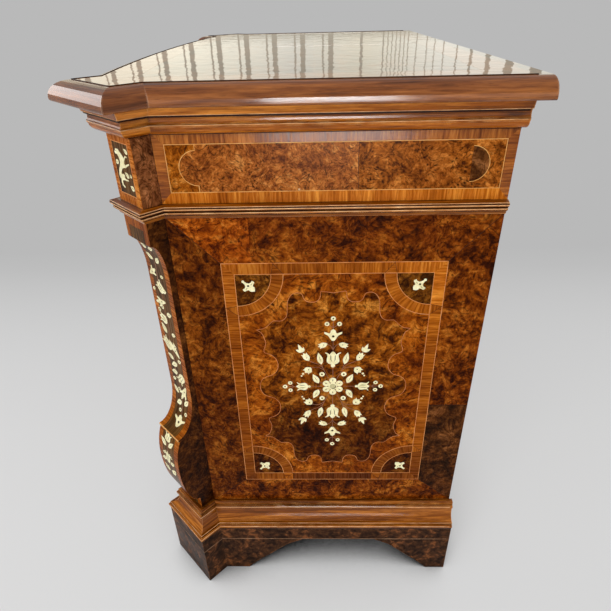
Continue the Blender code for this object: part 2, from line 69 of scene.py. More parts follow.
# How far each layer stands proud of the wood below it, and how far its edge is let in.
VENEER_RISE = 0.00030
INSET_RISE = 0.00038
BAND_RISE = 0.00046
STRING_RISE = 0.00054
BONE_RISE = 0.00064
ENGRAVED_RISE = 0.00072
LET_IN = 0.0002
HAIR = 0.00003
OVERLAP = 0.0000004

STRING_WIDTH = 0.75 * MM
FINE_STRING = 0.65 * MM
STEM_WIDTH = 0.7 * MM


# Colours and shader helpers

def tone(red, green, blue):
    """A colour as a painter reads it, 0 to 255, turned into the linear colour that a shader takes."""
    parts = []
    for part in (red, green, blue):
        level = part / 255
        parts.append(level / 12.92 if level <= 0.04045 else ((level + 0.055) / 1.055) ** 2.4)
    return (*parts, 1.0)


def shades(*stops):
    """Stops of a colour ramp, each a place on it and the colour there as red, green and blue."""
    return [(position, tone(*colour)) for position, *colour in stops]


def node(tree, kind, inputs=None, **settings):
    """A shader node with its settings made and its inputs set or linked."""
    made = tree.nodes.new("ShaderNode" + kind)
    for name, value in settings.items():
        setattr(made, name, value)
    for name, value in (inputs or {}).items():
        socket = made.inputs[name]
        if isinstance(value, bpy.types.NodeSocket):
            tree.links.new(value, socket)
        else:
            socket.default_value = value
    return made


def own_place(tree):
    """The place of a point on its own piece."""
    return node(tree, "TexCoord").outputs["Object"]


def sheet_place(tree):
    """The place of a point along and across the grain drawn on its sheet."""
    return node(tree, "UVMap", uv_map="grain").outputs[0]


def coordinate(tree, place, axis):
    """How far along one axis a place lies."""
    return node(tree, "SeparateXYZ", {0: place}).outputs[axis]


def calc(tree, operation, first, second=0.0, third=0.0):
    """The result of a sum on two or three values."""
    inputs = {0: first, 1: second, 2: third}
    return node(tree, "Math", inputs, operation=operation).outputs[0]


def vector(tree, operation, first, second=(0.0, 0.0, 0.0)):
    """The result of a sum on one or two vectors."""
    outputs = node(tree, "VectorMath", {0: first, 1: second}, operation=operation).outputs
    return outputs["Value" if operation == "DOT_PRODUCT" else "Vector"]


def scaled(tree, place, scale):
    """A place at another scale."""
    return node(tree, "VectorMath", {0: place, "Scale": scale}, operation="SCALE").outputs["Vector"]


def spread(tree, value, low, high, to_low=0.0, to_high=1.0):
    """A value's range stretched to another range, held at both ends."""
    inputs = {"Value": value, "From Min": low, "From Max": high, "To Min": to_low, "To Max": to_high}
    return node(tree, "MapRange", inputs).outputs[0]


def blended(tree, factor, first, second, way="MIX"):
    """Two colours mixed by a mask."""
    inputs = {0: factor, 6: first, 7: second}
    return node(tree, "Mix", inputs, data_type="RGBA", blend_type=way).outputs[2]


def tinted(tree, mask, share, first, second):
    """A colour with a second one over it where a mask shows, at a share of its strength."""
    return blended(tree, calc(tree, "MULTIPLY", mask, share), first, second)


def ramped(tree, value, stops):
    """A value turned into colours along a ramp."""
    made = node(tree, "ValToRGB", {"Fac": value})
    ramp = made.color_ramp
    while len(ramp.elements) < len(stops):
        ramp.elements.new(0.5)
    for element, (position, colour) in zip(ramp.elements, stops):
        element.position = position
        element.color = colour
    return made.outputs[0]


def noise(tree, place, scale, detail=2.0, roughness=0.5, distortion=0.0):
    """Values of a noise texture."""
    inputs = {"Vector": place, "Scale": scale, "Detail": detail}
    inputs |= {"Roughness": roughness, "Distortion": distortion}
    return node(tree, "TexNoise", inputs).outputs["Fac"]


def new_group(name, inputs, outputs):
    """An empty shader group with its way in and out. Its sockets are values, apart from a place."""
    tree = bpy.data.node_groups.new(name, "ShaderNodeTree")
    for way, sockets in (("INPUT", inputs), ("OUTPUT", outputs)):
        for socket in sockets:
            kind = "NodeSocketVector" if socket == "Place" else "NodeSocketFloat"
            tree.interface.new_socket(name=socket, in_out=way, socket_type=kind)
    return tree, tree.nodes.new("NodeGroupInput").outputs, tree.nodes.new("NodeGroupOutput").inputs


def placed(tree, group, inputs):
    """A shader group set in a material."""
    return node(tree, "Group", inputs, node_tree=group).outputs


def make_burr_figure():
    """Figure of burr walnut: clouds, curling lines and small dark eyes."""
    tree, given, result = new_group("burr figure", ["Place", "Scale"], ["Figure", "Lines", "Eyes", "Fine"])
    sized = scaled(tree, given["Place"], given["Scale"])
    swirl = node(tree, "TexNoise", {"Vector": sized, "Scale": 17.0, "Detail": 3.0}).outputs["Color"]
    bent = scaled(tree, vector(tree, "SUBTRACT", swirl, (0.5, 0.5, 0.5)), 0.036)
    warped = vector(tree, "ADD", sized, bent)
    clouds = noise(tree, warped, 20.0, 4.0, 0.6, 0.6)
    curls = noise(tree, warped, 76.0, 3.0, 0.6, 0.35)
    weighed = calc(tree, "MULTIPLY_ADD", curls, 0.56, calc(tree, "MULTIPLY", clouds, 0.44))
    tree.links.new(spread(tree, weighed, 0.38, 0.62), result["Figure"])
    bands = calc(tree, "MULTIPLY", noise(tree, warped, 26.0, 2.0, 0.5, 0.8), 40.0)
    waves = calc(tree, "ABSOLUTE", calc(tree, "SINE", bands))
    creases = spread(tree, waves, 0.05, 0.5, 1.0, 0.0)
    here_and_there = spread(tree, noise(tree, sized, 34.0, 2.0), 0.38, 0.54)
    tree.links.new(calc(tree, "MULTIPLY", creases, here_and_there), result["Lines"])
    cells = node(tree, "TexVoronoi", {"Vector": warped, "Scale": 140.0}).outputs["Distance"]
    dots = spread(tree, cells, 0.14, 0.42, 1.0, 0.0)
    clusters = spread(tree, noise(tree, sized, 24.0, 2.0), 0.46, 0.58)
    tree.links.new(calc(tree, "MULTIPLY", dots, clusters), result["Eyes"])
    tree.links.new(noise(tree, warped, 230.0, 3.0, 0.7), result["Fine"])
    return tree


def make_straight_grain():
    """Straight grain, running along the first axis of the place it is given."""
    tree, given, result = new_group("straight grain", ["Place", "Scale"], ["Streak", "Pores", "Broad"])
    sized = scaled(tree, given["Place"], given["Scale"])
    drawn = vector(tree, "MULTIPLY", sized, (0.07, 1.0, 1.0))
    streaks = noise(tree, drawn, 330.0, 4.0, 0.6, 0.4)
    tree.links.new(spread(tree, streaks, 0.3, 0.7), result["Streak"])
    pores = noise(tree, drawn, 1500.0, 2.0, 0.5)
    tree.links.new(spread(tree, pores, 0.58, 0.72), result["Pores"])
    tree.links.new(spread(tree, noise(tree, drawn, 42.0, 3.0, 0.55, 0.8), 0.3, 0.7), result["Broad"])
    return tree


def make_run_of_moulding():
    """A place on a moulding: along its run, up, and out from the carcass."""
    tree, _, result = new_group("run of moulding", [], ["Place"])
    place = own_place(tree)
    upright = (0.0, 0.0, 1.0)
    facing = node(tree, "NewGeometry").outputs["True Normal"]
    out = vector(tree, "ADD", facing, vector(tree, "MULTIPLY", place, (0.02, 0.02, 0.0)))
    along = vector(tree, "NORMALIZE", vector(tree, "CROSS_PRODUCT", out, upright))
    outward = vector(tree, "CROSS_PRODUCT", upright, along)
    run = vector(tree, "DOT_PRODUCT", place, along)
    reach = vector(tree, "DOT_PRODUCT", place, outward)
    height = coordinate(tree, place, "Z")
    joined = node(tree, "CombineXYZ", {0: run, 1: height, 2: reach}).outputs[0]
    tree.links.new(joined, result["Place"])
    return tree


def make_use_and_painted_light():
    """Rubbed edges, also painted highlight; dirt and painted shade in the corners; and uneven polish."""
    tree, given, result = new_group("use_and_painted_light", ["Edge"], ["Rubbed", "Shade and dirt in hollows", "Polish"])
    place = own_place(tree)
    # Rubbed edges, which the mouldings also use as painted highlight.
    rounded = node(tree, "Bevel", {"Radius": given["Edge"]}, samples=4).outputs[0]
    facing = node(tree, "NewGeometry").outputs["Normal"]
    edges = spread(tree, vector(tree, "DOT_PRODUCT", rounded, facing), 0.985, 0.90)
    patchy = spread(tree, noise(tree, place, 60.0, 3.0), 0.35, 0.7)
    tree.links.new(calc(tree, "MULTIPLY", edges, patchy), result["Rubbed"])
    # Darkness in hollows and corners: painted shade as well as dirt.
    open_air = node(tree, "AmbientOcclusion", {"Distance": 0.010}, samples=6).outputs["AO"]
    tree.links.new(spread(tree, open_air, 0.86, 0.42), result["Shade and dirt in hollows"])
    tree.links.new(noise(tree, place, 9.0, 3.0, 0.6), result["Polish"])
    return tree


burr_figure = make_burr_figure()
straight_grain = make_straight_grain()
run_of_moulding = make_run_of_moulding()
use_and_painted_light = make_use_and_painted_light()


WHITE = (255, 255, 255)
DARK_EYE = tone(38, 14, 3)
PORE = tone(58, 24, 6)
WAX_IOR = 1.5
POLISH_IOR = 1.6


def blank_material(name):
    """A material with no nodes yet, and its tree."""
    made = bpy.data.materials.new(name)
    made.use_nodes = True
    made.node_tree.nodes.clear()
    return made, made.node_tree


def new_finish(name, specular, ior=WAX_IOR):
    """A material with its shader."""
    made, tree = blank_material(name)
    shader = node(tree, "BsdfPrincipled", {"Specular IOR Level": specular, "IOR": ior})
    node(tree, "OutputMaterial", {"Surface": shader.outputs[0]})
    return made, tree, shader


def finish(tree, shader, colour, roughness, height, depth, strength):
    """Gives a shader its colour, its roughness and its relief."""
    relief = node(tree, "Bump", {"Height": height, "Distance": depth, "Strength": strength})
    for name, value in (("Base Color", colour), ("Roughness", roughness), ("Normal", relief.outputs[0])):
        tree.links.new(value, shader.inputs[name])


def burr_veneer(
    name, stops, scale=1.0, eyes=0.75, specular=0.035, gloss=(0.16, 0.34), drawn=True, ripple=0.0, painted_shade_heights=None
):
    """Polished burr veneer. drawn follows the grain drawn on its sheet; given heights paint shade towards the
    bottom.
    """
    made, tree, shader = new_finish(name, specular, POLISH_IOR if ripple else WAX_IOR)
    place = own_place(tree)
    on_sheet = sheet_place(tree) if drawn else place
    figure = placed(tree, burr_figure, {"Place": on_sheet, "Scale": scale})
    lined = tinted(tree, figure["Lines"], 0.75, ramped(tree, figure["Figure"], stops), DARK_EYE)
    speckled = tinted(tree, figure["Eyes"], eyes, lined, DARK_EYE)
    shadows = ramped(tree, figure["Fine"], shades((0.34, 146, 130, 114), (0.58, *WHITE)))
    fine = blended(tree, 0.85, speckled, shadows, "MULTIPLY")
    tides = ramped(tree, noise(tree, place, 6.5, 3.0, 0.6), shades((0.36, 208, 194, 180), (0.58, *WHITE)))
    toned = blended(tree, 1.0, fine, tides, "MULTIPLY")
    # Painted shade: darker below the lower height, fading out by the upper one.
    if painted_shade_heights:
        painted_shade_mask = spread(tree, coordinate(tree, place, "Z"), *painted_shade_heights)
        painted_shade_tone = ramped(tree, painted_shade_mask, shades((0.0, 172, 162, 150), (1.0, *WHITE)))
        toned = blended(tree, 1.0, toned, painted_shade_tone, "MULTIPLY")
    rough = spread(tree, figure["Fine"], 0.25, 0.75, *gloss)
    relief = (noise(tree, place, 30.0, 2.0), ripple, 1.0) if ripple else (figure["Figure"], 0.0002, 0.10)
    finish(tree, shader, toned, rough, *relief)
    return made


def straight_veneer(name, stops, scale=1.0, specular=0.05, gloss=(0.2, 0.36), ripple=0.0):
    """Straight-grained veneer, with its grain drawn on its sheet."""
    made, tree, shader = new_finish(name, specular, POLISH_IOR if ripple else WAX_IOR)
    place = own_place(tree)
    grain = placed(tree, straight_grain, {"Place": sheet_place(tree), "Scale": scale})
    mixed = calc(tree, "MULTIPLY_ADD", grain["Broad"], 0.45, calc(tree, "MULTIPLY", grain["Streak"], 0.55))
    porous = tinted(tree, grain["Pores"], 0.6, ramped(tree, mixed, stops), PORE)
    tides = ramped(tree, noise(tree, place, 7.0, 3.0, 0.6), shades((0.3, 200, 190, 180), (0.62, *WHITE)))
    toned = blended(tree, 1.0, porous, tides, "MULTIPLY")
    rough = spread(tree, grain["Streak"], 0.0, 1.0, *gloss)
    relief = (noise(tree, place, 30.0, 2.0), ripple, 1.0) if ripple else (grain["Streak"], 0.00015, 0.12)
    finish(tree, shader, toned, rough, *relief)
    return made


def moulded_walnut(name, stops, pore, edge_wear_and_highlight, shade_and_dirt, scale, edge, specular=0.25):
    """Polished solid walnut grained along the moulding, edges rubbed and painted highlit, hollows painted
    shade and dirt.
    """
    made, tree, shader = new_finish(name, specular)
    place = placed(tree, run_of_moulding, {})["Place"]
    grain = placed(tree, straight_grain, {"Place": place, "Scale": scale})
    marks = placed(tree, use_and_painted_light, {"Edge": edge})
    mixed = calc(tree, "MULTIPLY_ADD", grain["Broad"], 0.55, calc(tree, "MULTIPLY", grain["Streak"], 0.45))
    porous = tinted(tree, grain["Pores"], 0.55, ramped(tree, mixed, stops), tone(*pore))
    # Rubbed edges lightened, partly as painted highlight; hollows darkened as painted shade and dirt.
    worn = tinted(tree, marks["Rubbed"], 0.75, porous, tone(*edge_wear_and_highlight))
    shaded_and_dirty = tinted(tree, marks["Shade and dirt in hollows"], 0.92, worn, tone(*shade_and_dirt))
    rough = spread(tree, marks["Polish"], 0.3, 0.7, 0.09, 0.17)
    finish(tree, shader, shaded_and_dirty, rough, grain["Streak"], 0.0002, 0.12)
    return made


def mottled_walnut(name, stops, edge_wear_and_highlight, shade_and_dirt, scale):
    """Dark walnut of the plinth and feet, mottled with lighter patches."""
    made, tree, shader = new_finish(name, 0.03)
    figure = placed(tree, burr_figure, {"Place": own_place(tree), "Scale": scale})
    marks = placed(tree, use_and_painted_light, {"Edge": 0.003})
    # Rubbed edges lightened, partly as painted highlight; hollows darkened as painted shade and dirt.
    worn = tinted(tree, marks["Rubbed"], 0.55, ramped(tree, figure["Figure"], stops), tone(*edge_wear_and_highlight))
    shaded_and_dirty = tinted(tree, marks["Shade and dirt in hollows"], 0.75, worn, tone(*shade_and_dirt))
    eyed = tinted(tree, figure["Eyes"], 0.7, shaded_and_dirty, tone(*shade_and_dirt))
    rough = spread(tree, marks["Polish"], 0.3, 0.7, 0.24, 0.45)
    finish(tree, shader, eyed, rough, figure["Fine"], 0.0003, 0.2)
    return made


def plain_board(name, along):
    """Unpolished softwood of the inside and back, with its grain along one axis."""
    made, tree, shader = new_finish(name, 0.25)
    apart = node(tree, "SeparateXYZ", {0: own_place(tree)}).outputs
    order = {"X": "XYZ", "Y": "YZX", "Z": "ZXY"}[along]
    axes = {index: apart[axis] for index, axis in enumerate(order)}
    turned_place = node(tree, "CombineXYZ", axes).outputs[0]
    grain = placed(tree, straight_grain, {"Place": turned_place, "Scale": 0.45})
    marks = placed(tree, use_and_painted_light, {"Edge": 0.002})
    stained = tinted(tree, grain["Broad"], 0.45, ramped(tree, grain["Streak"], POPLAR_STOPS), POPLAR_DARK)
    # Hollows darkened as painted shade and dirt.
    shaded_and_dirty = tinted(tree, marks["Shade and dirt in hollows"], 0.7, stained, POPLAR_DARK)
    rough = spread(tree, grain["Streak"], 0.0, 1.0, 0.5, 0.72)
    finish(tree, shader, shaded_and_dirty, rough, grain["Streak"], 0.0004, 0.3)
    return made


def aged_bone(name, stops, grey):
    """Polished old bone with fine lengthwise pores and a little grey in it."""
    made, tree, shader = new_finish(name, 0.25)
    place = own_place(tree)
    cloud = noise(tree, place, 130.0, 4.0, 0.6)
    pores = spread(tree, noise(tree, place, 1500.0, 2.0), 0.62, 0.75)
    aged = tinted(tree, pores, 0.5, ramped(tree, cloud, stops), grey)
    finish(tree, shader, aged, spread(tree, cloud, 0.3, 0.7, 0.28, 0.42), cloud, 0.0002, 0.15)
    return made


def thin_line(name, stops, specular=0.08, gloss=(0.3, 0.45), ior=WAX_IOR):
    """Fine stringing, stems, engraving and painted light and shade lines: a narrow line whose tone wanders a
    little.
    """
    made, tree, shader = new_finish(name, specular, ior)
    wander = noise(tree, own_place(tree), 55.0, 4.0, 0.65)
    rough = spread(tree, wander, 0.3, 0.7, *gloss)
    finish(tree, shader, ramped(tree, wander, stops), rough, wander, 0.0001, 0.1)
    return made


def aged_brass(name, bright, tarnish):
    """Turned brass with tarnish in its hollows and fine turning marks."""
    made, tree, shader = new_finish(name, 0.5)
    shader.inputs["Metallic"].default_value = 1.0
    place = own_place(tree)
    marks = placed(tree, use_and_painted_light, {"Edge": 0.0015})
    cloud = spread(tree, noise(tree, place, 90.0, 4.0, 0.6), 0.4, 0.7)
    dull = calc(tree, "MAXIMUM", calc(tree, "MULTIPLY", cloud, 0.55), marks["Shade and dirt in hollows"])
    rough = spread(tree, dull, 0.0, 1.0, 0.22, 0.5)
    turning = noise(tree, place, 1100.0, 2.0)
    finish(tree, shader, blended(tree, dull, bright, tarnish), rough, turning, 0.0001, 0.15)
    return made


border_burr = burr_veneer(
    "border burr",
    shades((0.04, 60, 20, 0), (0.34, 112, 50, 2), (0.64, 150, 75, 12), (0.95, 190, 112, 34)),
)
dim_burr = burr_veneer(
    "dim border burr",
    shades((0.04, 52, 17, 0), (0.34, 98, 44, 2), (0.64, 131, 66, 10), (0.95, 166, 98, 30)),
)
patch_burr = burr_veneer(
    "patched burr",
    shades((0.05, 44, 22, 5), (0.45, 84, 46, 16), (0.75, 114, 66, 28), (1.0, 146, 92, 48)),
    scale=0.8, eyes=0.5,
)
field_burr = burr_veneer(
    "field burr",
    shades((0.04, 90, 35, 0), (0.34, 138, 64, 4), (0.64, 172, 90, 16), (0.95, 212, 130, 43)),
    scale=0.9,
)
centre_burr = burr_veneer(
    "centre burr",
    shades((0.04, 66, 26, 0), (0.34, 124, 60, 4), (0.64, 164, 90, 18), (0.96, 210, 136, 50)),
    scale=0.85, painted_shade_heights=(0.34, 0.47),
)
corner_burr = burr_veneer(
    "corner burr",
    shades((0.05, 64, 30, 0), (0.45, 104, 56, 8), (0.75, 136, 80, 18), (1.0, 168, 106, 36)),
    scale=1.2,
)
tablet_burr = burr_veneer(
    "frieze burr",
    shades((0.04, 122, 60, 14), (0.36, 164, 90, 29), (0.66, 190, 110, 41), (0.96, 220, 144, 68)),
    scale=1.6, specular=0.06,
)
far_burr = burr_veneer(
    "far frieze burr",
    shades((0.04, 92, 42, 6), (0.36, 146, 78, 20), (0.66, 176, 98, 30), (0.96, 212, 132, 54)),
    scale=1.3, eyes=0.9,
)
spandrel_burr = burr_veneer(
    "spandrel burr",
    shades((0.05, 106, 48, 2), (0.4, 158, 83, 12), (0.7, 190, 109, 27), (1.0, 216, 141, 57)),
    scale=1.3, eyes=0.4,
)
upper_burr = burr_veneer(
    "upper border burr",
    shades((0.04, 90, 32, 0), (0.34, 154, 70, 5), (0.64, 196, 102, 22), (0.95, 236, 148, 54)),
)
scroll_burr = burr_veneer(
    "scroll burr",
    shades((0.04, 29, 10, 0), (0.4, 63, 29, 3), (0.7, 88, 46, 11), (1.0, 122, 70, 24)),
    drawn=False,
)
solid_burr = burr_veneer(
    "burr ground",
    shades((0.05, 104, 56, 26), (0.4, 146, 88, 48), (0.68, 170, 106, 60), (0.97, 202, 134, 82)),
    drawn=False,
)
SHELLAC = {"specular": 0.3, "gloss": (0.12, 0.24)}
crossband = straight_veneer(
    "crossband walnut",
    shades((0.15, 100, 42, 0), (0.5, 152, 78, 10), (0.85, 200, 118, 31)),
)
dark_crossband = straight_veneer(
    "dark crossband walnut",
    shades((0.15, 66, 26, 0), (0.5, 94, 42, 4), (0.85, 122, 62, 14)),
)
worn_crossband = straight_veneer(
    "worn crossband walnut",
    shades((0.15, 84, 34, 0), (0.5, 126, 62, 7), (0.85, 164, 94, 22)),
)
glossy_crossband = straight_veneer(
    "glossy crossband walnut",
    shades((0.15, 94, 40, 2), (0.5, 142, 74, 14), (0.85, 190, 112, 34)),
    **SHELLAC,
)
glossy_band = straight_veneer(
    "glossy light crossband walnut",
    shades((0.15, 98, 44, 0), (0.5, 150, 79, 12), (0.85, 200, 121, 36)),
    **SHELLAC,
)
light_band = straight_veneer(
    "light crossband walnut",
    shades((0.15, 128, 60, 2), (0.5, 184, 99, 19), (0.85, 230, 148, 52)),
)
foliage_ground = straight_veneer(
    "ground of the foliage",
    shades((0.15, 54, 32, 8), (0.5, 90, 58, 20), (0.85, 122, 84, 34)),
    scale=0.8,
)
bone = aged_bone(
    "bone",
    shades((0.3, 218, 204, 150), (0.55, 242, 234, 188), (0.8, 252, 248, 214)),
    tone(166, 146, 96),
)
flower_centre = aged_bone(
    "greyed bone",
    shades((0.3, 166, 154, 108), (0.6, 200, 190, 142), (0.85, 218, 208, 162)),
    tone(112, 92, 54),
)
engraving = thin_line("engraved line", shades((0.3, 36, 22, 6), (0.7, 84, 62, 26)))
stem_line = thin_line("stem", shades((0.3, 108, 68, 50), (0.7, 160, 116, 92)))
stringing = thin_line("stringing", shades((0.3, 186, 108, 52), (0.7, 228, 160, 98)))
gold_stringing = thin_line("gold stringing", shades((0.3, 196, 130, 56), (0.7, 234, 182, 108)))
cartouche_line = thin_line("cartouche stringing", shades((0.3, 150, 80, 40), (0.7, 210, 138, 86)))
joint_line = thin_line("veneer joint", shades((0.3, 34, 14, 5), (0.7, 70, 34, 12)))
chip = thin_line("pale chip", shades((0.3, 196, 160, 112), (0.7, 228, 204, 164)))
# Painted highlight laid along the crests of the mouldings.
painted_crest_highlight = thin_line("painted crest highlight", shades((0.3, 186, 118, 62), (0.7, 250, 200, 144)))
# Painted shade laid in the quirks of the mouldings and along the top's edge.
painted_quirk_shade = thin_line("painted shade in a quirk", shades((0.3, 26, 9, 0), (0.7, 54, 22, 4)))
pale_joint_line = thin_line("pale plinth joint", shades((0.3, 96, 62, 40), (0.7, 190, 152, 118)))

# Rubbed colours are partly painted highlight; the dark colours are painted shade and dirt in hollows.
nosing_walnut = moulded_walnut(
    "nosing walnut", shades((0.12, 62, 26, 5), (0.5, 116, 62, 22), (0.88, 156, 93, 40)),
    pore=(62, 30, 12), edge_wear_and_highlight=(196, 158, 126), shade_and_dirt=(36, 16, 6), scale=0.7, edge=0.003, specular=0.45,
)
GOLDEN_WEAR_SHADE_AND_HIGHLIGHT = {
    "pore": (70, 30, 6), "edge_wear_and_highlight": (244, 184, 112), "shade_and_dirt": (30, 10, 0), "scale": 0.8, "edge": 0.002,
}
moulding_walnut = moulded_walnut(
    "moulding walnut", shades((0.12, 58, 23, 0), (0.5, 124, 63, 8), (0.88, 194, 117, 36)),
    **GOLDEN_WEAR_SHADE_AND_HIGHLIGHT,
)
cornice_walnut = moulded_walnut(
    "cornice walnut", shades((0.12, 78, 32, 0), (0.5, 160, 84, 13), (0.88, 230, 146, 50)),
    **GOLDEN_WEAR_SHADE_AND_HIGHLIGHT,
)
post_walnut = moulded_walnut(
    "post walnut", shades((0.15, 48, 20, 1), (0.5, 82, 40, 8), (0.85, 120, 64, 20)),
    pore=(36, 15, 3), edge_wear_and_highlight=(150, 96, 46), shade_and_dirt=(26, 11, 2), scale=0.7, edge=0.002, specular=0.06,
)
# The rubbed colour is partly painted highlight; the dark colour is painted shade and dirt in hollows.
plinth_walnut = mottled_walnut(
    "plinth walnut", shades((0.08, 32, 17, 7), (0.42, 56, 33, 18), (0.72, 80, 48, 27), (0.96, 118, 70, 38)),
    edge_wear_and_highlight=(150, 108, 74), shade_and_dirt=(22, 11, 5), scale=1.3,
)
POPLAR_STOPS = shades((0.2, 140, 104, 62), (0.55, 170, 132, 84), (0.85, 190, 154, 104))
POPLAR_DARK = tone(92, 66, 38)
poplar_across = plain_board("poplar along the width", "X")
poplar_deep = plain_board("poplar along the depth", "Y")
poplar_tall = plain_board("poplar upright", "Z")
brass = aged_brass("aged brass", tone(208, 168, 92), tone(92, 66, 30))


# Drawing on flat sheets, in metres, before they are laid on a face

def turned(points, turn=0.0, centre=(0.0, 0.0), scale=1.0):
    """Points of a drawing turned, scaled and moved into place."""
    across, up = math.cos(turn) * scale, math.sin(turn) * scale
    return [(centre[0] + x * across - y * up, centre[1] + x * up + y * across) for x, y in points]


def smooth(points, closed=False, steps=4):
    """A flowing line through the points."""
    count = len(points)
    line = []
    for index in range(count if closed else count - 1):
        if closed:
            near = [points[(index + shift) % count] for shift in (-1, 0, 1, 2)]
        else:
            near = [points[min(max(index + shift, 0), count - 1)] for shift in (-1, 0, 1, 2)]
        before, start, end, after = (Vector(point) for point in near)
        for step in range(steps):
            part = step / steps
            pull = (end - before) * part
            bend = (before * 2 - start * 5 + end * 4 - after) * part ** 2
            twist = (start * 3 - before - end * 3 + after) * part ** 3
            line.append(tuple(start + (pull + bend + twist) / 2))
    if not closed:
        line.append(tuple(points[-1]))
    return line


def oval(centre, radii, start, end, steps):
    """Points on an ellipse, with its angles in degrees."""
    angles = [math.radians(start + (end - start) * step / steps) for step in range(steps + 1)]
    return [(centre[0] + radii[0] * math.cos(a), centre[1] + radii[1] * math.sin(a)) for a in angles]


def arc(centre, radius, start, end, steps):
    """Points on an arc of a circle, with its angles in degrees."""
    return oval(centre, (radius, radius), start, end, steps)


def box_outline(low, high):
    """The four corners of an upright rectangle."""
    return [(low[0], low[1]), (high[0], low[1]), (high[0], high[1]), (low[0], high[1])]


def shrunk(low, high, margin):
    """The corners of a rectangle that lies inside another by an even margin."""
    return (low[0] + margin, low[1] + margin), (high[0] - margin, high[1] - margin)


def mitred_strips(outer, inner):
    """The four mitred strips between two rectangles, each with the turn that sets its grain across it."""
    for index in range(4):
        follow = (index + 1) % 4
        yield [outer[index], outer[follow], inner[follow], inner[index]], 90 if index % 2 == 0 else 0


def new_sheet():
    """An empty sheet with room for the direction of the grain."""
    sheet = bmesh.new()
    sheet.loops.layers.uv.new("grain")
    return sheet


def anticlockwise(outline):
    """The outline with its front towards the viewer."""
    pairs = zip(outline, outline[1:] + outline[:1])
    area = sum(a[0] * b[1] - b[0] * a[1] for a, b in pairs)
    return outline if area > 0 else outline[::-1]


def lay(sheet, outline, rise, turn=0.0, shift=(0.0, 0.0)):
    """One flat piece on a sheet. turn is the angle of its grain in degrees."""
    face = sheet.faces.new([sheet.verts.new((s, t, rise)) for s, t in anticlockwise(outline)])
    grain = sheet.loops.layers.uv["grain"]
    along, over = math.cos(math.radians(turn)), math.sin(math.radians(turn))
    for loop in face.loops:
        s, t = loop.vert.co.x, loop.vert.co.y
        loop[grain].uv = (s * along + t * over + shift[0], t * along - s * over + shift[1])


def stroke(sheet, path, width, rise, closed=False, crossed=False):
    """A strip of even width along a path. crossed turns its grain across the strip."""
    grain = sheet.loops.layers.uv["grain"]
    points = [Vector(point) for point in path]
    count = len(points)
    edges = []
    travelled = 0.0
    for index, point in enumerate(points):
        before = points[index - 1] if closed or index else None
        after = points[(index + 1) % count] if closed or index < count - 1 else None
        into = (point - before).normalized() if before is not None else None
        away = (after - point).normalized() if after is not None else None
        heading = (into or away) + (away or into)
        side = Vector((-heading.y, heading.x)).normalized()
        facing = Vector((-(into or away).y, (into or away).x))
        reach = width / 2 / max(side.dot(facing), 0.5)
        if index:
            travelled += (point - points[index - 1]).length
        edges.append((point + side * reach, point - side * reach, travelled))
    if closed:
        edges.append((edges[0][0], edges[0][1], travelled + (points[0] - points[-1]).length))
    rows = [(sheet.verts.new((*a, rise)), sheet.verts.new((*b, rise)), run) for a, b, run in edges]
    for (a, b, run), (c, d, further) in zip(rows, rows[1:]):
        face = sheet.faces.new([b, d, c, a])
        marks = [(0.0, run), (0.0, further), (width, further), (width, run)]
        for loop, (over, on) in zip(face.loops, marks):
            loop[grain].uv = (over, on) if crossed else (on, over)


def add_walls(sheet):
    """Walls from the rim of each piece down into the wood, always built in the same order."""
    grain = sheet.loops.layers.uv["grain"]
    rims = [edge for edge in sheet.edges if edge.is_boundary]
    feet = {}
    for edge in rims:
        loop = edge.link_loops[0]
        ends = (loop.link_loop_next, loop)
        corners = [end.vert for end in ends]
        marks = [end[grain].uv.copy() for end in ends]
        for corner in corners:
            if corner not in feet:
                feet[corner] = sheet.verts.new((corner.co.x, corner.co.y, -LET_IN))
        wall = sheet.faces.new([*corners, feet[corners[1]], feet[corners[0]]])
        for wall_corner, mark in zip(wall.loops, marks + marks[::-1]):
            wall_corner[grain].uv = mark


def fit(sheet, name, surface, material, body, cuts=(), upright=False):
    """Cuts a sheet where the face under it bends, gives it an edge and lays it on that face."""
    facing = (0.0, 1.0, 0.0) if upright else (1.0, 0.0, 0.0)
    for cut in cuts:
        point = (0.0, cut, 0.0) if upright else (cut, 0.0, 0.0)
        everything = sheet.verts[:] + sheet.edges[:] + sheet.faces[:]
        bmesh.ops.bisect_plane(sheet, geom=everything, plane_co=point, plane_no=facing, dist=1e-6)
    sheet.verts.ensure_lookup_table()
    sample = sheet.verts[0].co.copy()
    lifted = surface(*(sample + Vector((0.0, 0.0, 0.01)))) - surface(*sample)
    along = surface(sample.x + 0.001, sample.y, sample.z) - surface(*sample)
    up = surface(sample.x, sample.y + 0.001, sample.z) - surface(*sample)
    inside_out = along.cross(up).dot(lifted) < 0
    add_walls(sheet)
    for corner in sheet.verts:
        corner.co = surface(*corner.co)
    if inside_out:
        bmesh.ops.reverse_faces(sheet, faces=sheet.faces[:])
    mesh = bpy.data.meshes.new(name)
    sheet.to_mesh(mesh)
    sheet.free()
    mesh.polygons.foreach_set("use_smooth", [True] * len(mesh.polygons))
    mesh.set_sharp_from_angle(angle=math.radians(25))
    piece = bpy.data.objects.new(name, mesh)
    scene.collection.objects.link(piece)
    piece.data.materials.append(material)
    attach(piece, body)


def lay_alone(
    name, surface, material, slot, outline, rise, turn=0.0, shift=(0.0, 0.0), cuts=(), upright=False
):
    """A sheet of one flat piece, laid on a face of the carcass."""
    sheet = new_sheet()
    lay(sheet, outline, rise, turn, shift)
    fit(sheet, name, surface, material, "carcass", cuts, upright)


# Faces that sheets are laid on: along, up (or down) and out

def on_side(side):
    """The flat side of the carcass: depth, height and out."""
    return lambda s, t, h: Vector((side * (SIDE_X + h), s, t))


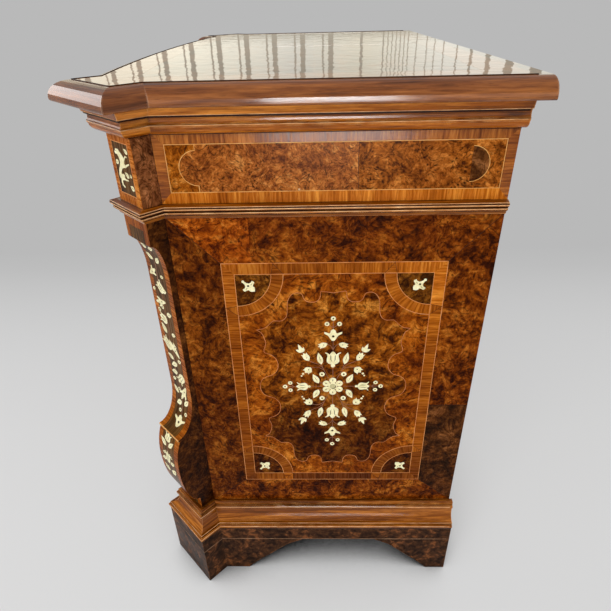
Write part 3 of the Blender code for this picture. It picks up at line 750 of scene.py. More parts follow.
def on_cant(side):
    """The canted corner: across from the side panel, height and out."""
    def place(s, t, h):
        over = s - CANT_HALF
        x = CANT_X + SLANT * (h - over)
        y = CANT_Y - SLANT * (h + over)
        return Vector((side * x, y, t))
    return place


def on_front(s, t, h):
    """The bowed front: across, height and out."""
    return Vector((s, BOW_CENTRE - math.sqrt((BOW_RADIUS + h) ** 2 - s ** 2), t))


def on_top(s, t, h):
    """The flat top: across, depth and up."""
    return Vector((s, t, TOP_LEVEL + h))


# The scroll's front line, as reach out of the canted face and height, stepped as the solid is.
SCROLL_TABLET = 0.687
SCROLL_SHANK = 0.632
SCROLL_ARRIS = 0.354
SCROLL_NOTCH = 0.351
SCROLL_BELLY = 0.290
SCROLL_END = 0.1995
SCROLL_RECESS = 0.0175
SCROLL_REACH = 0.018
SCROLL_SWELL = 0.0276
SWEEP = 0.070
SWELL_START = 57
swell_rise = (SCROLL_NOTCH - SCROLL_BELLY) / math.sin(math.radians(SWELL_START))
upper_scroll = [(0.0, PANEL_HIGH)]
upper_scroll += oval((0.0, SCROLL_SHANK), (SCROLL_RECESS, SCROLL_TABLET - SCROLL_SHANK), 90, 180, 7)
upper_scroll += oval((SCROLL_REACH, SCROLL_ARRIS + SWEEP), (SCROLL_REACH + SCROLL_RECESS, SWEEP), 180, 270, 9)
upper_scroll += [(SCROLL_REACH, SCROLL_NOTCH)]
lower_scroll = oval((0.0, SCROLL_BELLY), (SCROLL_SWELL, swell_rise), SWELL_START, 0, 6)
lower_scroll += oval((0.0, SCROLL_BELLY), (SCROLL_SWELL, SCROLL_BELLY - SCROLL_END), 0, -90, 9)[1:]
lower_scroll += [(0.0, PANEL_LOW)]


def lengths_along(line):
    """Distance from the start of a line to each of its points."""
    total = [0.0]
    for (x, y), (x_next, y_next) in zip(line, line[1:]):
        total.append(total[-1] + math.hypot(x_next - x, y_next - y))
    return total


def followed(line):
    """A way to place points by their distance along a line and out from its left side."""
    runs = lengths_along(line)
    ways = []
    for (x, y), (x_next, y_next) in zip(line, line[1:]):
        ways.append(Vector((y - y_next, x_next - x)).normalized())
    leans = [ways[0]] + [(a + b).normalized() for a, b in zip(ways, ways[1:])] + [ways[-1]]

    def place(distance, out):
        run = min(max(distance, 0.0), runs[-1])
        index = max(i for i, start in enumerate(runs[:-1]) if start <= run + 1e-9)
        part = (run - runs[index]) / (runs[index + 1] - runs[index])
        lean = leans[index].lerp(leans[index + 1], part)
        return Vector(line[index]).lerp(Vector(line[index + 1]), part) + lean * out
    return place


def on_scroll(line, side, begin):
    """The scroll's front: across from the side panel, distance down its line and out."""
    path = followed(line)
    flat = on_cant(side)

    def place(s, t, h):
        reach, height = path(t - begin, h)
        return flat(s, height, reach)
    return place


def plan_line(reach, back):
    """A line round the carcass, an even distance out from it, from the right back to the left back."""
    side_point = (SIDE_X + reach, EAR_Y + reach * math.tan(math.pi / 8))
    ear_side = (SIDE_X + EAR_STEP + reach / SLANT, EAR_Y - EAR_STEP)
    ear_x, ear_y = EAR_FRONT_X + EAR_STEP, EAR_FRONT_Y - EAR_STEP - reach / SLANT
    fall = ear_y - BOW_CENTRE
    excess = ear_x ** 2 + fall ** 2 - (BOW_RADIUS + reach) ** 2
    slide = (ear_x - fall - math.sqrt((ear_x - fall) ** 2 - 2 * excess)) / 2
    half = [(SIDE_X + reach, back), side_point, ear_side, (ear_x, ear_y)]
    spots = [(ear_x - slide) * (1 - step / 8) for step in range(17)]
    bow = [(x, BOW_CENTRE - math.sqrt((BOW_RADIUS + reach) ** 2 - x ** 2)) for x in spots]
    return half + bow + [(-x, y) for x, y in half[::-1]]


def on_plan(line):
    """Upright faces round the carcass: distance along a line of its plan, height and out."""
    path = followed(line)
    return lambda s, t, h: Vector((*path(s, h), t))


# Inlay motifs, drawn in millimetres

TULIP = [
    (0.0, 0.25), (0.08, 0.60), (0.20, 0.82), (0.35, 0.86), (0.50, 0.80), (0.65, 0.74), (0.80, 0.80),
    (0.88, 1.05), (0.94, 1.0), (0.86, 0.66), (0.76, 0.44), (0.86, 0.32), (0.95, 0.18), (1.0, 0.0),
]
LILY = [
    (0.0, 0.14), (0.14, 0.30), (0.30, 0.44), (0.46, 0.60), (0.56, 0.88), (0.64, 1.02), (0.76, 1.0),
    (0.70, 0.74), (0.62, 0.44), (0.72, 0.30), (0.86, 0.28), (1.0, 0.0),
]
SPRIG = [
    (0.0, 0.14), (0.14, 0.18), (0.28, 0.34), (0.34, 0.62), (0.30, 0.94), (0.42, 1.0), (0.52, 0.98),
    (0.56, 0.66), (0.64, 0.40), (0.76, 0.46), (0.88, 0.30), (1.0, 0.0),
]
PETAL = [(0.16, 0.14), (0.40, 0.34), (0.62, 0.34), (0.76, 0.42), (0.62, 0.24), (0.40, 0.24)]
BUD = [
    (0.0, 0.10), (0.12, 0.52), (0.30, 0.90), (0.50, 1.0), (0.68, 0.85),
    (0.90, 0.95), (0.78, 0.45), (1.0, 0.0),
]


def leaf(base, tip, width):
    """A pointed leaf."""
    start = Vector(base)
    run = Vector(tip) - start
    across = Vector((-run.y, run.x)).normalized() * width / 2
    parts = [step / 7 for step in range(8)]
    swells = [math.sin(math.pi * part ** 0.8) for part in parts]
    near = [start + run * part + across * swell for part, swell in zip(parts, swells)]
    far = [start + run * part - across * swell for part, swell in zip(parts, swells)]
    return [tuple(point) for point in near + far[-2:0:-1]]


def blossom(base, tip, half_width, edge):
    """A flower seen from the side, drawn from the edge of one half."""
    return half_blossom(base, tip, half_width, edge) + half_blossom(base, tip, -half_width, edge[-2::-1])


def half_blossom(base, tip, half_width, edge):
    """A shape on one side of a flower's middle line."""
    start = Vector(base)
    run = Vector(tip) - start
    across = Vector((-run.y, run.x)).normalized() * half_width
    return [tuple(start + run * along + across * out) for along, out in edge]


def disc(centre, radius, steps=14):
    """A round bead."""
    return arc(centre, radius, 0, 360 - 360 / steps, steps - 1)


def vein(base, tip, width=0.7):
    """An engraved line that thins towards both ends."""
    start = Vector(base)
    run = Vector(tip) - start
    across = Vector((-run.y, run.x)).normalized() * width / 2
    middle = start + run * 0.5
    ends = (start + run * 0.2, middle + across, start + run * 0.8, middle - across)
    return [tuple(point) for point in ends]


class Inlay:
    """Bone, engraving and stems that share one face."""

    def __init__(self):
        self.bone = new_sheet()
        self.grey = new_sheet()
        self.engraved = new_sheet()
        self.stems = new_sheet()

    def draw(self, outline, frame_of):
        lay(self.bone, frame_of(outline), BONE_RISE + len(self.bone.faces) * OVERLAP)

    def engrave(self, outline, frame_of):
        lay(self.engraved, frame_of(outline), ENGRAVED_RISE)

    def leaf(self, base, tip, width, frame_of):
        self.draw(leaf(base, tip, width), frame_of)
        self.engrave(vein(base, tip), frame_of)

    def flower(self, base, tip, half_width, edge, frame_of):
        self.draw(blossom(base, tip, half_width, edge), frame_of)
        middle = Vector(base).lerp(Vector(tip), 0.38)
        if edge is TULIP:
            for way in (1, -1):
                self.engrave(half_blossom(base, tip, half_width * way, PETAL), frame_of)
        else:
            self.engrave(disc(tuple(middle), half_width * 0.16, 8), frame_of)

    def ring(self, centre, radius, frame_of):
        self.draw(disc(centre, radius), frame_of)
        self.engrave(disc(centre, radius * 0.36, 8), frame_of)

    def stem(self, path, frame_of, scale):
        stroke(self.stems, frame_of(smooth(path)), STEM_WIDTH * scale, STRING_RISE)

    def fit(self, name, surface, body, slot, cuts=(), upright=False):
        finishes = (
            (self.bone, "bone", bone),
            (self.grey, "greyed_bone", flower_centre),
            (self.engraved, "engraving", engraving),
            (self.stems, "stems", stem_line),
        )
        for sheet, word, finish in finishes:
            if sheet.faces:
                fit(sheet, f"{name}_{word}", surface, finish, body, cuts, upright)
            else:
                sheet.free()


SPRAY_STEMS = [
    ((6.0, 15.0), (11.5, 27.0), (15.0, 36.0), (17.3, 44.0)),
    ((15.0, 36.0), (22.0, 43.0), (29.0, 46.0), (36.5, 50.5)),
    ((13.0, 31.0), (22.0, 37.5), (33.5, 36.4)), ((0.0, 70.0), (3.5, 77.0), (9.0, 80.8)),
    ((44.0, 64.0), (47.0, 69.0)), ((13.0, 7.0), (22.0, 7.0)),
    ((0.0, 109.0), (4.0, 112.0), (8.0, 114.5)), ((60.0, 0.0), (63.5, 3.5), (65.5, 6.5)),
]


def spray(inlay, centre, size=1.0, turn=0.0, flower=True):
    """A spray of flowers that mirrors about both its axes."""
    def framed(flip_s, flip_t):
        def frame_of(points):
            flipped = [(x * flip_s, y * flip_t) for x, y in points]
            return turned(flipped, turn, centre, size * MM)
        return frame_of

    plain = framed(1, 1)
    if flower:
        for angle in range(30, 390, 60):
            middle = turned([(11.6, 0.0)], math.radians(angle))[0]
            inlay.draw(disc(middle, 5.5, 14), plain)
            inner, outer = turned([(8.0, 0.0), (16.0, 0.0)], math.radians(angle))
            inlay.engrave(vein(inner, outer, 1.3), plain)
        inlay.draw(disc((0.0, 0.0), 7.0, 18), plain)
        lay(inlay.grey, plain(disc((0.0, 0.0), 4.9, 18)), BONE_RISE + 0.00004)
        crescent = arc((0.0, 0.0), 4.6, 250, 380, 10)
        stroke(inlay.engraved, plain(crescent), 1.1 * MM * size, ENGRAVED_RISE)
    for up in (1, -1):
        at = framed(1, up)
        inlay.draw(disc((0.0, 40.4), 3.3), at)
        inlay.flower((0.0, 42.7), (0.0, 66.9), 11.2, TULIP, at)
        inlay.flower((0.0, 86.4), (0.0, 107.0), 12.9, LILY, at)
        inlay.ring((0.0, 125.0), 3.6, at)
        for path in (((0.0, 17.0), (0.0, 38.0)), ((0.0, 66.0), (0.0, 87.0)), ((0.0, 106.0), (0.0, 122.0))):
            inlay.stem(path, at, size)
    for way in (1, -1):
        at = framed(way, 1)
        inlay.draw(disc((36.4, 0.0), 2.2), at)
        inlay.flower((38.4, 0.0), (56.7, 0.0), 8.2, TULIP, at)
        inlay.ring((74.0, 0.0), 3.6, at)
        inlay.stem(((17.0, 0.0), (35.0, 0.0)), at, size)
        inlay.stem(((56.0, 0.0), (71.0, 0.0)), at, size)
    for way in (1, -1):
        for up in (1, -1):
            at = framed(way, up)
            inlay.ring((16.6, 24.0), 4.2, at)
            inlay.leaf((21.8, 6.4), (30.6, 24.0), 9.4, at)
            inlay.leaf((17.3, 43.0), (22.2, 65.0), 8.6, at)
            inlay.flower((8.5, 81.0), (22.5, 75.5), 4.7, BUD, at)
            inlay.flower((36.0, 50.0), (44.5, 64.5), 5.0, BUD, at)
            inlay.flower((33.2, 36.6), (42.6, 27.0), 6.4, BUD, at)
            inlay.draw(disc((45.5, 25.0), 1.9, 8), at)
            inlay.draw(disc((47.8, 21.0), 1.4, 8), at)
            for tip in ((51.6, 80.5), (55.2, 70.6), (43.4, 75.2)):
                inlay.draw(leaf((45.6, 65.8), tip, 5.2), at)
            inlay.ring((9.0, 115.8), 3.5, at)
            inlay.ring((65.8, 7.2), 3.4, at)
            for path in SPRAY_STEMS:
                inlay.stem(path, at, size)


def sprig(inlay, centre, turn):
    """A small leafy sprig with a bead at its foot."""
    def frame_of(points):
        return turned(points, turn, centre, MM)

    inlay.draw(disc((-10.8, 0.0), 2.0, 10), frame_of)
    inlay.flower((-9.0, 0.0), (10.8, 0.0), 10.2, SPRIG, frame_of)
    for up in (1, -1):
        inlay.engrave(vein((0.5, up * 1.5), (-0.5, up * 8.0), 0.8), frame_of)


# Side of the carcass. Heights and depths are measured from the photograph, in metres.
CENTRE_DEPTH = 0.0534
CENTRE_HEIGHT = 0.4396
FRAME_LOW = (-0.0981, 0.2262)
FRAME_HIGH = (0.2050, 0.6531)
BAND_WIDTH = 0.0165
CORNER_RADIUS = 0.0500
CORNER_BAND = 0.0165
MITRE_POINT = 0.2
SPRIG_REACH = 0.0265
PATCH_TOP = 0.4000
BORDER_JOINT = -0.057
CARTOUCHE_QUARTER = [
    (0, 167), (16.5, 170), (17.7, 165.4), (19.2, 158.5), (23.8, 153.5), (30.8, 152.3), (37.7, 153.8),
    (41.5, 158.5), (43, 163.5), (45.4, 166.5), (51.9, 167.7), (58.5, 164.6), (62.7, 157.7), (64.6, 150),
    (65.4, 134.6), (69.2, 125), (76.9, 121.2), (85.4, 121.9), (92.3, 115.4), (100.8, 108.5), (110.8, 106.5),
    (104.6, 101.9), (100.8, 92.3), (99.2, 81.5), (102.3, 71.2), (101.5, 65.4), (92.3, 61.5), (85.4, 53.8),
    (82.7, 42.3), (85.4, 30.8), (92.3, 23.1), (100.8, 20), (107.7, 15.4), (111.9, 6.9), (112.7, 0),
]


def cartouche_outline():
    """The scalloped line round the spray, drawn from one quarter."""
    right_up = CARTOUCHE_QUARTER
    right_down = [(x, -y) for x, y in right_up[-2::-1]]
    left_down = [(-x, -y) for x, y in right_up[1:]]
    left_up = [(-x, y) for x, y in right_up[-2:0:-1]]
    loop = smooth(right_up + right_down + left_down + left_up, closed=True, steps=2)
    return turned(loop, 0.0, (CENTRE_DEPTH, CENTRE_HEIGHT), MM)


def frame_of_band(sheet, low, high, width, rise):
    """Four mitred strips round a rectangle, with the grain across each."""
    inside = box_outline(*shrunk(low, high, width))
    for index, (strip, grain) in enumerate(mitred_strips(box_outline(low, high), inside)):
        lay(sheet, strip, rise, grain, (0.0, index * 0.37))


def dress_side_panel(side, word):
    """Burr border, crossbanded frame, corner spandrels, cartouche and spray of one side."""
    surface = on_side(side)
    outer = box_outline((SIDE_FRONT, PANEL_LOW), (SIDE_BACK, PANEL_HIGH))
    inner = box_outline(FRAME_LOW, FRAME_HIGH)
    right_foot = [(FRAME_HIGH[0], PATCH_TOP), (SIDE_BACK, PATCH_TOP)]
    joint_high, joint_low = (BORDER_JOINT, PANEL_HIGH), (BORDER_JOINT, FRAME_HIGH[1])
    border = new_sheet()
    lay(border, [outer[0], outer[1], inner[1], inner[0]], VENEER_RISE, 0, (0.4, 0.1))
    lay(border, [right_foot[0], right_foot[1], outer[2], inner[2]], VENEER_RISE, 90, (2.7, 0.9))
    lay(border, [outer[2], joint_high, joint_low, inner[2]], VENEER_RISE, 0, (7.4, 0.6))
    fit(border, f"border_veneer_{word}", surface, border_burr, "carcass")
    field_low, field_high = shrunk(FRAME_LOW, FRAME_HIGH, BAND_WIDTH)
    field = box_outline(field_low, field_high)
    scallops = cartouche_outline()
    leaves = (
        ("front_border", dim_burr, [outer[3], outer[0], inner[0], inner[3]], VENEER_RISE, 90, (1.9, 0.3)),
        ("upper_border", upper_burr, [joint_high, outer[3], inner[3], joint_low], VENEER_RISE, 0, (1.1, 0.7)),
        ("patched", patch_burr, [inner[1], outer[1], *right_foot[::-1]], VENEER_RISE, 90, (3.3, 0.2)),
        ("field", field_burr, field, VENEER_RISE, 90, (4.1, 0.5)),
        ("centre", centre_burr, scallops, INSET_RISE, 90, (5.2, 0.8)),
    )
    for name, burr, *leaf_shape in leaves:
        lay_alone(f"{name}_veneer_{word}", surface, burr, "burr_walnut", *leaf_shape)

    arc_reach = CORNER_RADIUS + CORNER_BAND
    strip = box_outline((field_low[0] + arc_reach, FRAME_LOW[1]), (field_high[0] - arc_reach, field_low[1]))
    proud = BAND_RISE + HAIR
    low_strip = (strip, proud, 90, (0.3, 0.8))
    lay_alone(f"low_crossband_{word}", surface, dark_crossband, "polished_walnut", *low_strip)
    bands, low_bands, corner_bands = new_sheet(), new_sheet(), new_sheet()
    corners, low_corners = new_sheet(), new_sheet()
    lines, joints, rim = new_sheet(), new_sheet(), new_sheet()
    inlay = Inlay()
    frame_of_band(bands, FRAME_LOW, FRAME_HIGH, BAND_WIDTH, BAND_RISE)
    for index, (s, t) in enumerate(field):
        start = 90 * index
        high = index >= 2
        radii = (CORNER_RADIUS, CORNER_RADIUS + CORNER_BAND / 2, CORNER_RADIUS + CORNER_BAND)
        inside, middle, outside = (arc((s, t), radius, start, start + 90, 14) for radius in radii)
        lay(corners if high else low_corners, [(s, t), *inside], INSET_RISE, start + 45, (start * 0.01, 0.3))
        stroke(bands if high else low_bands, middle, CORNER_BAND, BAND_RISE, crossed=True)
        stroke(lines, inside, STRING_WIDTH, STRING_RISE)
        stroke(lines, outside, STRING_WIDTH, STRING_RISE)
        over, up = turned([(BAND_WIDTH, 0.0), (0.0, BAND_WIDTH)], math.radians(start))
        outer_corner = (s - over[0] - up[0], t - over[1] - up[1])
        ends = ((inside[0], outside[0], up, start), (inside[-1], outside[-1], over, start + 90))
        for near, far, out, grain in ends:
            point = tuple(Vector(near).lerp(Vector(far), MITRE_POINT) - Vector(out))
            lay(bands, [near, far, point], proud, grain, (0.0, start * 0.02))
            mitre = [(s, t), near, point, outer_corner]
            lay(corner_bands if high else low_bands, mitre, proud, grain + 90, (0.4, start * 0.03))
            stroke(joints, [far, point, near], FINE_STRING, STRING_RISE)
        heading = math.radians(start + 45)
        sprig(inlay, turned([(SPRIG_REACH, 0.0)], heading, (s, t))[0], heading)
    stroke(lines, inner, STRING_WIDTH, STRING_RISE, closed=True)
    stroke(lines, field, STRING_WIDTH, STRING_RISE, closed=True)
    stroke(rim, scallops, STRING_WIDTH, STRING_RISE, closed=True)
    for corner, point in zip(outer, inner):
        stroke(joints, [corner, point], FINE_STRING, STRING_RISE)
    stroke(joints, right_foot, STRING_WIDTH, STRING_RISE)
    layers = (
        (corners, "corner_veneer", corner_burr, "burr_walnut"),
        (low_corners, "low_corner_veneer", centre_burr, "burr_walnut"),
        (low_bands, "worn_crossband", worn_crossband, "polished_walnut"),
        (bands, "frame_crossband", crossband, "polished_walnut"),
        (corner_bands, "corner_crossband", light_band, "polished_walnut"),
        (lines, "side_stringing", stringing, "polished_walnut"),
        (rim, "cartouche_stringing", cartouche_line, "polished_walnut"),
        (joints, "veneer_joints", joint_line, "dark_walnut"),
    )
    for sheet, name, wood, slot in layers:
        fit(sheet, f"{name}_{word}", surface, wood, "carcass")
    spray(inlay, (CENTRE_DEPTH, CENTRE_HEIGHT))
    inlay.fit(f"side_{word}", surface, "carcass", "burr_walnut")


# Frieze of the side
TABLET_LOW = (-0.1485, 0.7517)
TABLET_HIGH = (0.2538, 0.8100)
TABLET_SHOULDERS = (-0.1128, 0.2161)
TABLET_END_RADIUS = 0.0215
TABLET_MIDDLE = 0.7814
TABLET_JOINT = 0.0821
JOINT_SWAY = [(0.0, TABLET_LOW[1]), (0.0008, 0.765), (-0.0006, 0.780), (0.0, TABLET_HIGH[1])]
CHIP_SPOT = (0.0101, 0.7537)
CHIP_RADIUS = 0.0013


def tablet_ends(low, high, left, right, radius, middle):
    """The shouldered half-round at each end of a long tablet, which make its outline together."""
    left_end = [(left, low), *arc((left, middle), radius, 270, 90, 12), (left, high)]
    right_end = [(right, high), *arc((right, middle), radius, 90, -90, 12), (right, low)]
    return left_end, right_end


def dress_frieze(side, word):
    """Crossbanded frame above the waist moulding, round a tablet of two leaves with round ends."""
    surface = on_side(side)
    outer = box_outline((SIDE_FRONT, FRIEZE_LOW), (SIDE_BACK, FRIEZE_HIGH))
    inner = box_outline(TABLET_LOW, TABLET_HIGH)
    golden, glossy, brown = new_sheet(), new_sheet(), new_sheet()
    for index, (strip, grain) in enumerate(mitred_strips(outer, inner)):
        lay((golden, brown, glossy, brown)[index], strip, VENEER_RISE, grain, (0.0, index * 0.29))
    fit(golden, f"frieze_low_band_{word}", surface, light_band, "carcass")
    fit(glossy, f"frieze_top_band_{word}", surface, glossy_band, "carcass")
    fit(brown, f"frieze_crossband_{word}", surface, glossy_crossband, "carcass")
    foot, head = TABLET_LOW[1], TABLET_HIGH[1]
    joint_foot, joint_head = (TABLET_JOINT, foot), (TABLET_JOINT, head)
    near_end, far_end = tablet_ends(foot, head, *TABLET_SHOULDERS, TABLET_END_RADIUS, TABLET_MIDDLE)
    round_end = far_end[1:-1]
    leaves = (
        ("ground", spandrel_burr, box_outline(TABLET_LOW, joint_head), VENEER_RISE, 90, (0.9, 0.6)),
        ("tablet", tablet_burr, [joint_foot, *near_end, joint_head], INSET_RISE, 0, (6.1, 0.2)),
        ("far_leaf", far_burr, box_outline(joint_foot, TABLET_HIGH), INSET_RISE, 0, (3.4, 0.7)),
        ("far_end", patch_burr, round_end, (INSET_RISE + STRING_RISE) / 2, 0, (1.3, 0.4)),
    )
    for name, burr, *leaf_shape in leaves:
        lay_alone(f"frieze_{name}_{word}", surface, burr, "burr_walnut", *leaf_shape)
    lines, dark = new_sheet(), new_sheet()
    stroke(lines, inner, STRING_WIDTH, STRING_RISE, closed=True)
    stroke(lines, near_end, STRING_WIDTH, STRING_RISE)
    stroke(lines, round_end, STRING_WIDTH, STRING_RISE)
    fit(lines, f"frieze_stringing_{word}", surface, gold_stringing, "carcass")
    ragged = [(TABLET_JOINT + sway, height) for sway, height in JOINT_SWAY]
    stroke(dark, smooth(ragged), FINE_STRING, STRING_RISE)
    fit(dark, f"frieze_joints_{word}", surface, joint_line, "carcass")
    flaw = disc(CHIP_SPOT, CHIP_RADIUS, 7)
    lay_alone(f"frieze_chip_{word}", surface, chip, "polished_walnut", flaw, STRING_RISE)


# Canted corners
BLOCK_MARGIN = 0.0092
BLOCK_FOOT = 0.0118
BLOCK_HEAD = 0.0095
BLOCK_STRING = 0.8 * MM
BEAST_SIZE = 0.88 * MM
BEAST_MIDDLE = (32.7, 42.0)
BEAST_EYE = (46.0, 65.0)
BEAST = [
    (16.6, 61.5), (21.6, 62.1), (26.0, 57.8), (28.8, 60.3), (33.5, 64.0), (39.8, 68.4), (46.0, 68.4),
    (50.0, 63.6), (49.5, 60.9), (45.0, 60.9), (41.8, 59.0), (40.0, 54.9), (39.5, 49.9), (44.1, 44.0),
    (47.9, 37.8), (50.0, 32.0), (49.7, 28.4), (46.6, 26.1), (47.5, 21.5), (46.6, 17.1), (42.9, 14.4),
    (39.1, 14.6), (39.8, 16.1), (43.5, 18.4), (44.1, 22.1), (41.6, 25.3), (36.0, 25.9), (31.0, 25.9),
    (25.0, 26.5), (25.4, 27.8), (32.3, 28.1), (34.8, 29.6), (33.5, 32.8), (37.3, 34.6), (42.5, 33.6),
    (41.6, 37.1), (37.3, 41.5), (32.3, 44.0), (25.4, 44.9), (20.4, 47.8), (14.1, 50.6), (14.5, 52.4),
    (20.4, 50.6), (25.4, 48.6), (27.9, 50.3), (26.0, 54.6), (21.6, 59.9), (17.0, 59.9),
]
BLOCK_LEAVES = [
    ((12.5, 65.5), (21.5, 71.5), 6.0), ((45.0, 52.0), (52.5, 47.0), 7.0), ((13.5, 33.0), (17.5, 37.5), 4.5),
    ((21.0, 31.5), (31.0, 38.0), 7.0), ((12.5, 15.5), (22.0, 20.5), 7.5),
]


def dress_block(side, word):
    """Banded frame and leaping beast on a frieze block."""
    surface = on_cant(side)
    width = 2 * CANT_HALF
    inner_low = (BLOCK_MARGIN, FRIEZE_LOW + BLOCK_FOOT)
    inner_high = (width - BLOCK_MARGIN, FRIEZE_HIGH - BLOCK_HEAD)
    outer = box_outline((0.0, FRIEZE_LOW), (width, FRIEZE_HIGH))
    inner = box_outline(inner_low, inner_high)
    bands, lines = new_sheet(), new_sheet()
    for index, (strip, grain) in enumerate(mitred_strips(outer, inner)):
        lay(bands, strip, VENEER_RISE, grain, (0.0, 2.0 + index * 0.29))
    fit(bands, f"block_crossband_{word}", surface, light_band, "carcass")
    ground = (inner, VENEER_RISE, 90, (0.3, 3.1))
    lay_alone(f"block_ground_{word}", surface, foliage_ground, "polished_walnut", *ground)
    stroke(lines, inner, BLOCK_STRING, STRING_RISE, closed=True)
    fit(lines, f"block_stringing_{word}", surface, stringing, "carcass")
    inlay = Inlay()
    centre = (CANT_HALF, (inner_low[1] + inner_high[1]) / 2)

    def frame_of(points):
        about = [(x - BEAST_MIDDLE[0], y - BEAST_MIDDLE[1]) for x, y in points]
        return turned(about, 0.0, centre, BEAST_SIZE)

    inlay.draw(BEAST, frame_of)
    inlay.engrave(disc(BEAST_EYE, 0.8, 7), frame_of)
    for base, tip, across in BLOCK_LEAVES:
        inlay.leaf(base, tip, across, frame_of)
    inlay.fit(f"block_{word}", surface, "carcass", "polished_walnut")


# Foliage down the scroll: across and down its front in millimetres, as leaves and flowers.
SCROLL_LEAVES = [
    ((26.4, 75), (16, 63.8), 6), ((32.7, 71), (48.5, 64.5), 6), ((33, 54), (20, 50), 5),
    ((39, 54), (51, 50), 5), ((24.5, 96), (16.5, 95), 4), ((26, 119), (16, 118), 6),
    ((46.8, 122), (55, 126), 4), ((27, 160), (14, 156), 6), ((37.7, 197), (49.3, 182), 7),
    ((24, 194), (13.5, 191), 5), ((21, 243), (11.5, 238), 5), ((32.7, 244), (47.7, 238), 6),
    ((25, 249), (43, 259), 7), ((29, 268), (46, 272), 7), ((47, 288), (38, 284), 5),
    ((37, 314), (49, 302), 6), ((21, 330), (9.5, 316), 6), ((29, 327), (42.5, 335), 7),
    ((24, 388), (31, 386), 4), ((28, 419), (15, 405), 6), ((35, 420), (51, 410), 7),
    ((27, 436), (18, 440), 4), ((26, 456), (12.5, 447), 6), ((37, 436), (47, 440), 4),
    ((37, 449), (52, 457), 6), ((29, 482), (14, 465), 8), ((36, 480), (50, 470), 8),
]
SCROLL_FLOWERS = [
    ((54, 100), (35, 88), 8, LILY), ((24, 122), (38, 108), 9, TULIP), ((24, 138), (53, 146), 8, LILY),
    ((30, 173), (50, 169), 9, TULIP), ((13, 232), (37, 208), 9, LILY), ((34, 226), (52, 208), 9, TULIP),
    ((13, 268), (30, 287), 9, TULIP), ((12, 290), (30, 322), 9, LILY), ((25.5, 372), (25.5, 350), 14, LILY),
    ((33, 410), (31, 394), 9, TULIP), ((32, 456), (31.5, 430), 7, TULIP),
]
SCROLL_BEADS = [(14.3, 344), (30.6, 343), (33, 303), (21, 215), (47, 158), (36, 150)]
SCROLL_STEM = [
    (34, 58), (31, 80), (34, 105), (29, 128), (33, 152), (29, 180), (33, 205), (29, 232), (34, 262),
    (30, 292), (27, 320), (25, 350), (26, 368),
]
LOWER_STEM = [(29, 390), (31, 412), (30, 430), (32, 458), (32, 474)]
SCROLL_BAND = 0.0112
FULLNESS = 1.4
BEAD_RADIUS = 2.4
SCROLL_STEM_WEIGHT = 1.6
SCROLL_TABLET_LOW = (0.0115, 0.0135)
SCROLL_TABLET_MARGIN = 0.0095
ARRIS_GAP = 0.0015
ARRIS_LAP = 0.0006


def dress_scroll(side, word):
    """Banded edges and running foliage on the front of a scroll pilaster."""
    width = 2 * CANT_HALF
    upper_runs = lengths_along(upper_scroll)
    lower_runs = lengths_along(lower_scroll)
    tablet_end = upper_runs[1]
    fillet = upper_runs[-2]
    begin = upper_runs[-1] + ARRIS_GAP
    stretches = (
        ("upper", upper_scroll, 0.0, tablet_end, fillet, upper_runs),
        ("lower", lower_scroll, begin, begin, begin + lower_runs[-1], [begin + run for run in lower_runs]),
    )
    for name, line, start, top, end, cuts in stretches:
        surface = on_scroll(line, side, start)
        bands = new_sheet()
        lay(bands, box_outline((0.0, top), (SCROLL_BAND, end)), VENEER_RISE, 0, (0.2, 1.3))
        lay(bands, box_outline((width - SCROLL_BAND, top), (width, end)), VENEER_RISE, 0, (0.7, 2.9))
        if name == "upper":
            lay(bands, box_outline((0.0, 0.0), (width, top)), VENEER_RISE, 90, (0.5, 4.2))
        part = f"{name}_{word}"
        fit(bands, f"scroll_crossband_{part}", surface, crossband, "carcass", cuts, True)
        ground = new_sheet()
        lay(ground, box_outline((SCROLL_BAND, top), (width - SCROLL_BAND, end)), VENEER_RISE, 90, (0.6, 1.1))
        if name == "upper":
            tablet = box_outline(SCROLL_TABLET_LOW, (width - SCROLL_TABLET_MARGIN, top))
            lay(ground, tablet, INSET_RISE, 90, (0.2, 5.3))
        wood, slot = foliage_ground, "polished_walnut"
        fit(ground, f"scroll_ground_{part}", surface, wood, "carcass", cuts, True)
        inlay = Inlay()

        def frame_of(points):
            return turned(points, 0.0, (0.0, 0.0), MM)

        def here(distance):
            return top < distance * MM < end

        for base, tip, across in SCROLL_LEAVES:
            if here(base[1]):
                inlay.leaf(base, tip, across * FULLNESS, frame_of)
        for base, tip, half, edge in SCROLL_FLOWERS:
            if here(base[1]):
                inlay.flower(base, tip, half, edge, frame_of)
        for spot in SCROLL_BEADS:
            if here(spot[1]):
                inlay.ring(spot, BEAD_RADIUS * FULLNESS, frame_of)
        inlay.stem(SCROLL_STEM if name == "upper" else LOWER_STEM, frame_of, SCROLL_STEM_WEIGHT)
        inlay.fit(f"scroll_{part}", surface, "carcass", "polished_walnut", cuts, True)
    surface = on_scroll(upper_scroll, side, 0.0)
    edge = (box_outline((0.0, fillet - ARRIS_LAP), (width, upper_runs[-1])), BAND_RISE)
    places = {"cuts": upper_runs, "upright": True}
    lay_alone(f"scroll_arris_{word}", surface, gold_stringing, "polished_walnut", *edge, **places)


# Drawer fronts, which the photograph doesn't show, follow the side.
FRONT_BAND = 0.0160
OVAL_RADII = (0.132, 0.058)
OVAL_STRING = 1.1 * MM
SPRAY_SIZE = 0.66
TALL_FRONT = 0.1
PLATE_LIFT = 0.012
END_INSET = 0.04
END_RADIUS = 0.019
END_STRING = 0.9 * MM
BOW_CUT = 0.03
bow_cuts = [index * BOW_CUT for index in range(-14, 15)]


